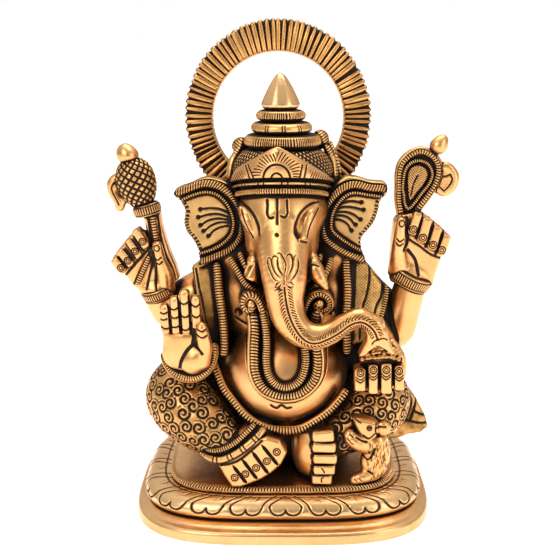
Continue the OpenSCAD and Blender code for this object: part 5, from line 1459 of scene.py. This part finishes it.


# ---------------------------------------------------------------- patina and painted shade
def patina_and_shade_fields():
    """How enclosed each vertex is, from the blurred volume of the whole figure; near gives the
    patina in hollows, far the painted shade in wide recesses between parts.
    """
    h, pad = ENCLOSURE_GRID, ENCLOSURE_PAD
    pts = np.vstack([p.v for p in PARTS])
    lo = pts.min(0) - pad
    dims = np.ceil((pts.max(0) + pad - lo) / h).astype(int)

    def fill(parts):
        """1 inside the parts and 0 outside them, on the grid."""
        v, f, n = [], [], 0
        for p in parts:
            v.append(p.v)
            f.append(p.f + n)
            n += len(p.v)
        v = ((np.vstack(v) - lo) / h).astype(np.float32)
        f = np.vstack(f).astype(np.uint32)
        g = openvdb.FloatGrid.createLevelSetFromPolygons(v, quads=f, halfWidth=2.0)
        a = np.zeros(dims, np.float32)
        g.copyToArray(a)
        return np.clip(0.5 - a, 0, 1)

    def blur(x, r):
        """The mean over r cells each way, taken twice along each axis."""
        for ax in range(3):
            for _ in range(2):
                c = np.cumsum(x, axis=ax, dtype=np.float32)
                ends = [(0, 0)] * 3
                ends[ax] = (r + 1, r)
                c = np.pad(c, ends, mode="edge")
                hi = np.take(c, np.arange(2 * r + 1, c.shape[ax]), axis=ax)
                low = np.take(c, np.arange(0, c.shape[ax] - 2 * r - 1), axis=ax)
                x = (hi - low) / (2 * r + 1)
        return x

    def sample(x, p):
        """The grid x at the points p, blended between its cells."""
        q = (p - lo) / h
        i = np.clip(np.floor(q).astype(int), 0, arr(x.shape).astype(int) - 2)
        t = q - i
        out = 0
        for dx in (0, 1):
            for dy in (0, 1):
                for dz in (0, 1):
                    w = t[:, 0] if dx else 1 - t[:, 0]
                    w = w * (t[:, 1] if dy else 1 - t[:, 1])
                    w = w * (t[:, 2] if dz else 1 - t[:, 2])
                    out = out + w * x[i[:, 0] + dx, i[:, 1] + dy, i[:, 2] + dz]
        return out

    near = blur(fill(PARTS), 2)
    # far is the wide enclosure, used as painted shade between parts
    far = blur(near, 6)
    trims = blur(fill([p for p in PARTS if p.thin]), 1)
    for p in PARTS:
        nn = p.normals()
        p.near = sample(near, p.v + nn * 1.0)
        p.far = sample(far, p.v + nn * 4.0)
        # The base gets less patina and painted shade, the torso less painted shade.
        if p.look == "base":
            p.near, p.far = p.near * 0.6, p.far * 0.7
        if p.name == "torso_skin":
            p.far = p.far * 0.88
        if not p.thin:
            edge = ease(0.05, 0.25, sample(trims, p.v + nn * 0.5))
            p.cut = np.maximum(p.cut, edge)


def put(node, **values):
    """Sets input sockets by name, with _ for a space."""
    for key, val in values.items():
        node.inputs[key.replace("_", " ")].default_value = val
    return node


def material(name):
    """A new material, its nodes, its links and its shader."""
    m = bpy.data.materials.new(name)
    m.use_nodes = True
    nodes = m.node_tree.nodes
    return m, nodes, m.node_tree.links, nodes["Principled BSDF"]


def paint(ramp, *stops):
    """Colours of a ramp as (position, r, g, b), the two ends first."""
    e = ramp.color_ramp.elements
    for i, (pos, *col) in enumerate(stops):
        stop = e[i] if i < 2 else e.new(pos)
        stop.position, stop.color = pos, (*col, 1)


# Ramp from bare brass to near black: patina in hollows and cut lines, and painted shade in wide
# recesses between parts.
PATINA_SHADE_RAMP = (
    (0.0, 1, 1, 1), (1.0, 0.016, 0.013, 0.014),
    (0.30, 0.80, 0.72, 0.62), (0.52, 0.32, 0.23, 0.16), (0.74, 0.05, 0.036, 0.03))


def brass(name, hi, lo, rough, mottle):
    """Brass between the colours hi and lo, with patina where cut and near say and painted shade
    where far says; on some pieces cut carries painted shade too.
    """
    m, nd, ln, b = material(name)

    def node(kind, **kw):
        x = nd.new(kind)
        for k, val in kw.items():
            setattr(x, k, val)
        return x

    def calc(op, a, c, clamp=False):
        x = node("ShaderNodeMath", operation=op, use_clamp=clamp)
        for i, val in enumerate((a, c)):
            if isinstance(val, (int, float)):
                x.inputs[i].default_value = val
            else:
                ln.new(val, x.inputs[i])
        return x.outputs[0]

    cut, near, far = (
        node("ShaderNodeAttribute", attribute_name=key).outputs["Fac"]
        for key in ("cut", "near", "far"))
    co = node("ShaderNodeTexCoord").outputs["Object"]

    def noise(scale, detail, grain=0.55):
        x = put(node("ShaderNodeTexNoise"), Scale=scale, Detail=detail, Roughness=grain)
        ln.new(co, x.inputs["Vector"])
        return x.outputs["Fac"]

    big, mid, fine = noise(38, 2), noise(170, 3), noise(900, 4, 0.65)

    def ramp(val, a, c):
        x = node("ShaderNodeMapRange", clamp=True, interpolation_type="SMOOTHSTEP")
        ln.new(val, put(x, From_Min=a, From_Max=c).inputs["Value"])
        return x.outputs["Result"]

    hole = ramp(near, 0.27, 0.50)
    # deep is painted shade in wide recesses between parts, from the far field
    deep = ramp(far, 0.25, 0.50)
    patina_with_shade = calc("ADD", calc("MULTIPLY", hole, 0.75), calc("MULTIPLY", deep, 0.55))
    patina_with_shade = calc("ADD", patina_with_shade, calc("MULTIPLY", cut, 1.0))
    patina_with_shade = calc("ADD", patina_with_shade, calc("MULTIPLY", calc("SUBTRACT", mid, 0.5), 0.30 * mottle))
    patina_with_shade = calc("ADD", patina_with_shade, calc("MULTIPLY", calc("SUBTRACT", fine, 0.5), 0.22), clamp=True)
    metal = put(node("ShaderNodeMix", data_type="RGBA"), A=(*hi, 1), B=(*lo, 1))
    ln.new(ramp(big, 0.35, 0.7), metal.inputs["Factor"])
    cr = node("ShaderNodeValToRGB")
    paint(cr, *PATINA_SHADE_RAMP)
    ln.new(patina_with_shade, cr.inputs["Fac"])
    mul = put(node("ShaderNodeMix", data_type="RGBA", blend_type="MULTIPLY"), Factor=1.0)
    ln.new(metal.outputs["Result"], mul.inputs["A"])
    ln.new(cr.outputs["Color"], mul.inputs["B"])
    ln.new(mul.outputs["Result"], b.inputs["Base Color"])
    bare = calc("SUBTRACT", 1.0, calc("MULTIPLY", ramp(patina_with_shade, 0.45, 0.9), 0.75))
    ln.new(bare, b.inputs["Metallic"])
    r = calc("ADD", calc("MULTIPLY", ramp(patina_with_shade, 0.2, 0.85), 0.34), calc("MULTIPLY", mid, 0.16))
    ln.new(calc("ADD", r, rough - 0.08, clamp=True), b.inputs["Roughness"])
    bump = put(node("ShaderNodeBump"), Strength=0.18, Distance=0.0006)
    grain = calc("ADD", calc("MULTIPLY", noise(260, 2), 1.0), calc("MULTIPLY", fine, 0.25))
    ln.new(grain, bump.inputs["Height"])
    ln.new(bump.outputs["Normal"], b.inputs["Normal"])
    put(b, Specular_IOR_Level=0.35)
    return m


LOOKS = {
    "brass": brass("polished_brass", (0.85, 0.455, 0.18), (0.77, 0.41, 0.15), 0.34, 0.8),
    "cut": brass("engraved_brass", (0.80, 0.45, 0.17), (0.66, 0.37, 0.13), 0.35, 1.2),
    "aged": brass("aged_brass", (0.76, 0.46, 0.16), (0.58, 0.35, 0.11), 0.38, 2.6),
    "ear": brass("ear_brass", (0.72, 0.44, 0.16), (0.56, 0.32, 0.12), 0.38, 1.4),
    "base": brass("base_brass", (0.90, 0.55, 0.255), (0.82, 0.48, 0.20), 0.31, 0.6),
}


def build(p):
    """Makes the mesh and object of a part, in metres, and says what it stands for."""
    me = bpy.data.meshes.new(p.name)
    v = p.v * MM
    me.vertices.add(len(v))
    me.vertices.foreach_set("co", v.astype(np.float32).ravel())
    me.loops.add(p.f.size)
    me.loops.foreach_set("vertex_index", p.f.astype(np.int32).ravel())
    me.polygons.add(len(p.f))
    me.polygons.foreach_set("loop_start", np.arange(0, p.f.size, 4, dtype=np.int32))
    me.polygons.foreach_set("loop_total", np.full(len(p.f), 4, np.int32))
    me.update(calc_edges=True)
    for key, val in (("cut", p.cut), ("near", p.near), ("far", p.far)):
        me.attributes.new(key, "FLOAT", "POINT").data.foreach_set("value", val.astype(np.float32))
    bm = bmesh.new()
    bm.from_mesh(me)
    bm.verts.ensure_lookup_table()
    for ring in p.caps:
        bm.faces.new([bm.verts[i] for i in ring])
    bmesh.ops.remove_doubles(bm, verts=bm.verts, dist=2e-6)
    bmesh.ops.holes_fill(bm, edges=[e for e in bm.edges if e.is_boundary], sides=60)
    bmesh.ops.recalc_face_normals(bm, faces=bm.faces)
    for f in bm.faces:
        f.smooth = True
    bm.to_mesh(me)
    bm.free()
    ob = bpy.data.objects.new(p.name, me)
    bpy.context.scene.collection.objects.link(ob)
    me.materials.append(LOOKS[p.look])
    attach(ob, "root")
    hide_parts(*p.nodes)
    return ob


for make in (make_base, make_crown, make_halo, make_head, make_ears, make_body, make_legs,
        make_arms, make_hands, make_attributes, make_mouse):
    make()
patina_and_shade_fields()
for p in PARTS:
    build(p)

steel, nodes, links, shader = material("fixing_steel")
put(shader, Metallic=1.0)
grain = put(nodes.new("ShaderNodeTexNoise"), Scale=700).outputs["Fac"]
wear = put(nodes.new("ShaderNodeMapRange"), To_Min=0.3, To_Max=0.55)
links.new(grain, wear.inputs["Value"])
links.new(wear.outputs["Result"], shader.inputs["Roughness"])
tint = nodes.new("ShaderNodeValToRGB")
paint(tint, (0.0, 0.36, 0.35, 0.33), (1.0, 0.58, 0.57, 0.55))
links.new(grain, tint.inputs["Fac"])
links.new(tint.outputs["Color"], shader.inputs["Base Color"])
for key in ("seat_studs", "stud_nuts"):
    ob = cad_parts[key]
    ob.data.materials.clear()
    ob.data.materials.append(steel)

# ---------------------------------------------------------------- stage
scene = bpy.context.scene
fm = bpy.data.meshes.new("floor")
half = 6
corners = [(-half, -half, 0), (half, -half, 0), (half, half, 0), (-half, half, 0)]
fm.from_pydata(corners, [], [(0, 1, 2, 3)])
floor = bpy.data.objects.new("floor", fm)
scene.collection.objects.link(floor)
pale, _, _, shader = material("pale_floor")
put(shader, Base_Color=(0.93, 0.93, 0.93, 1), Roughness=0.9, Specular_IOR_Level=0.1,
    Emission_Color=(1, 1, 1, 1), Emission_Strength=0.6)
fm.materials.append(pale)

cam = bpy.data.cameras.new("camera")
cam.lens = 60.2
cam.sensor_width = 36
cam.shift_x = -0.005
cam.clip_start = 0.01
cam_ob = bpy.data.objects.new("camera", cam)
cam_ob.location = CAMERA_AT
cam_ob.rotation_euler = (math.radians(90 - CAMERA_DOWN), 0, 0)
scene.collection.objects.link(cam_ob)
scene.camera = cam_ob

world = bpy.data.worlds.new("studio")
scene.world = world
world.use_nodes = True
nodes, links = world.node_tree.nodes, world.node_tree.links
sky = nodes["Background"]
axes = nodes.new("ShaderNodeSeparateXYZ")
links.new(nodes.new("ShaderNodeTexCoord").outputs["Generated"], axes.inputs[0])

# grey round the horizon, lighter above
shade = nodes.new("ShaderNodeValToRGB")
paint(shade, (0.0, 0.48, 0.45, 0.42), (1.0, 0.95, 0.95, 0.96),
    (0.5, 0.42, 0.41, 0.40), (0.62, 0.60, 0.59, 0.58))
height = put(nodes.new("ShaderNodeMapRange"), From_Min=-1, From_Max=1)
links.new(axes.outputs["Z"], height.inputs["Value"])
links.new(height.outputs["Result"], shade.inputs["Fac"])
links.new(shade.outputs["Color"], sky.inputs["Color"])

# dimmer in front of the figure than behind it
depth = put(nodes.new("ShaderNodeMapRange"), From_Min=-1, From_Max=0.2, To_Min=0.44, To_Max=1)
links.new(axes.outputs["Y"], depth.inputs["Value"])
links.new(depth.outputs["Result"], sky.inputs["Strength"])

# the camera itself sees plain white
white = put(nodes.new("ShaderNodeBackground"), Color=(1, 1, 1, 1), Strength=1.0)
mix = nodes.new("ShaderNodeMixShader")
links.new(nodes.new("ShaderNodeLightPath").outputs["Is Camera Ray"], mix.inputs["Fac"])
links.new(sky.outputs["Background"], mix.inputs[1])
links.new(white.outputs["Background"], mix.inputs[2])
links.new(mix.outputs["Shader"], nodes["World Output"].inputs["Surface"])


def softbox(name, at, look, size, power):
    """A rectangular light at a point, facing another."""
    d = bpy.data.lights.new(name, "AREA")
    d.shape = "RECTANGLE"
    d.size, d.size_y = size
    d.energy = power
    o = bpy.data.objects.new(name, d)
    o.location = at
    v = arr(look) - arr(at)
    v /= np.linalg.norm(v)
    o.rotation_euler = Vector(v).to_track_quat("-Z", "Y").to_euler()
    scene.collection.objects.link(o)


softbox("key", (-0.55, -0.85, 0.75), (0, 0, 0.12), (0.5, 0.7), 4.8)
softbox("fill", (0.75, -0.65, 0.45), (0, 0, 0.12), (0.4, 0.8), 2.5)
softbox("top", (0.05, 0.10, 0.95), (0, 0, 0.1), (0.7, 0.5), 4.2)
scene.view_settings.view_transform = "Standard"
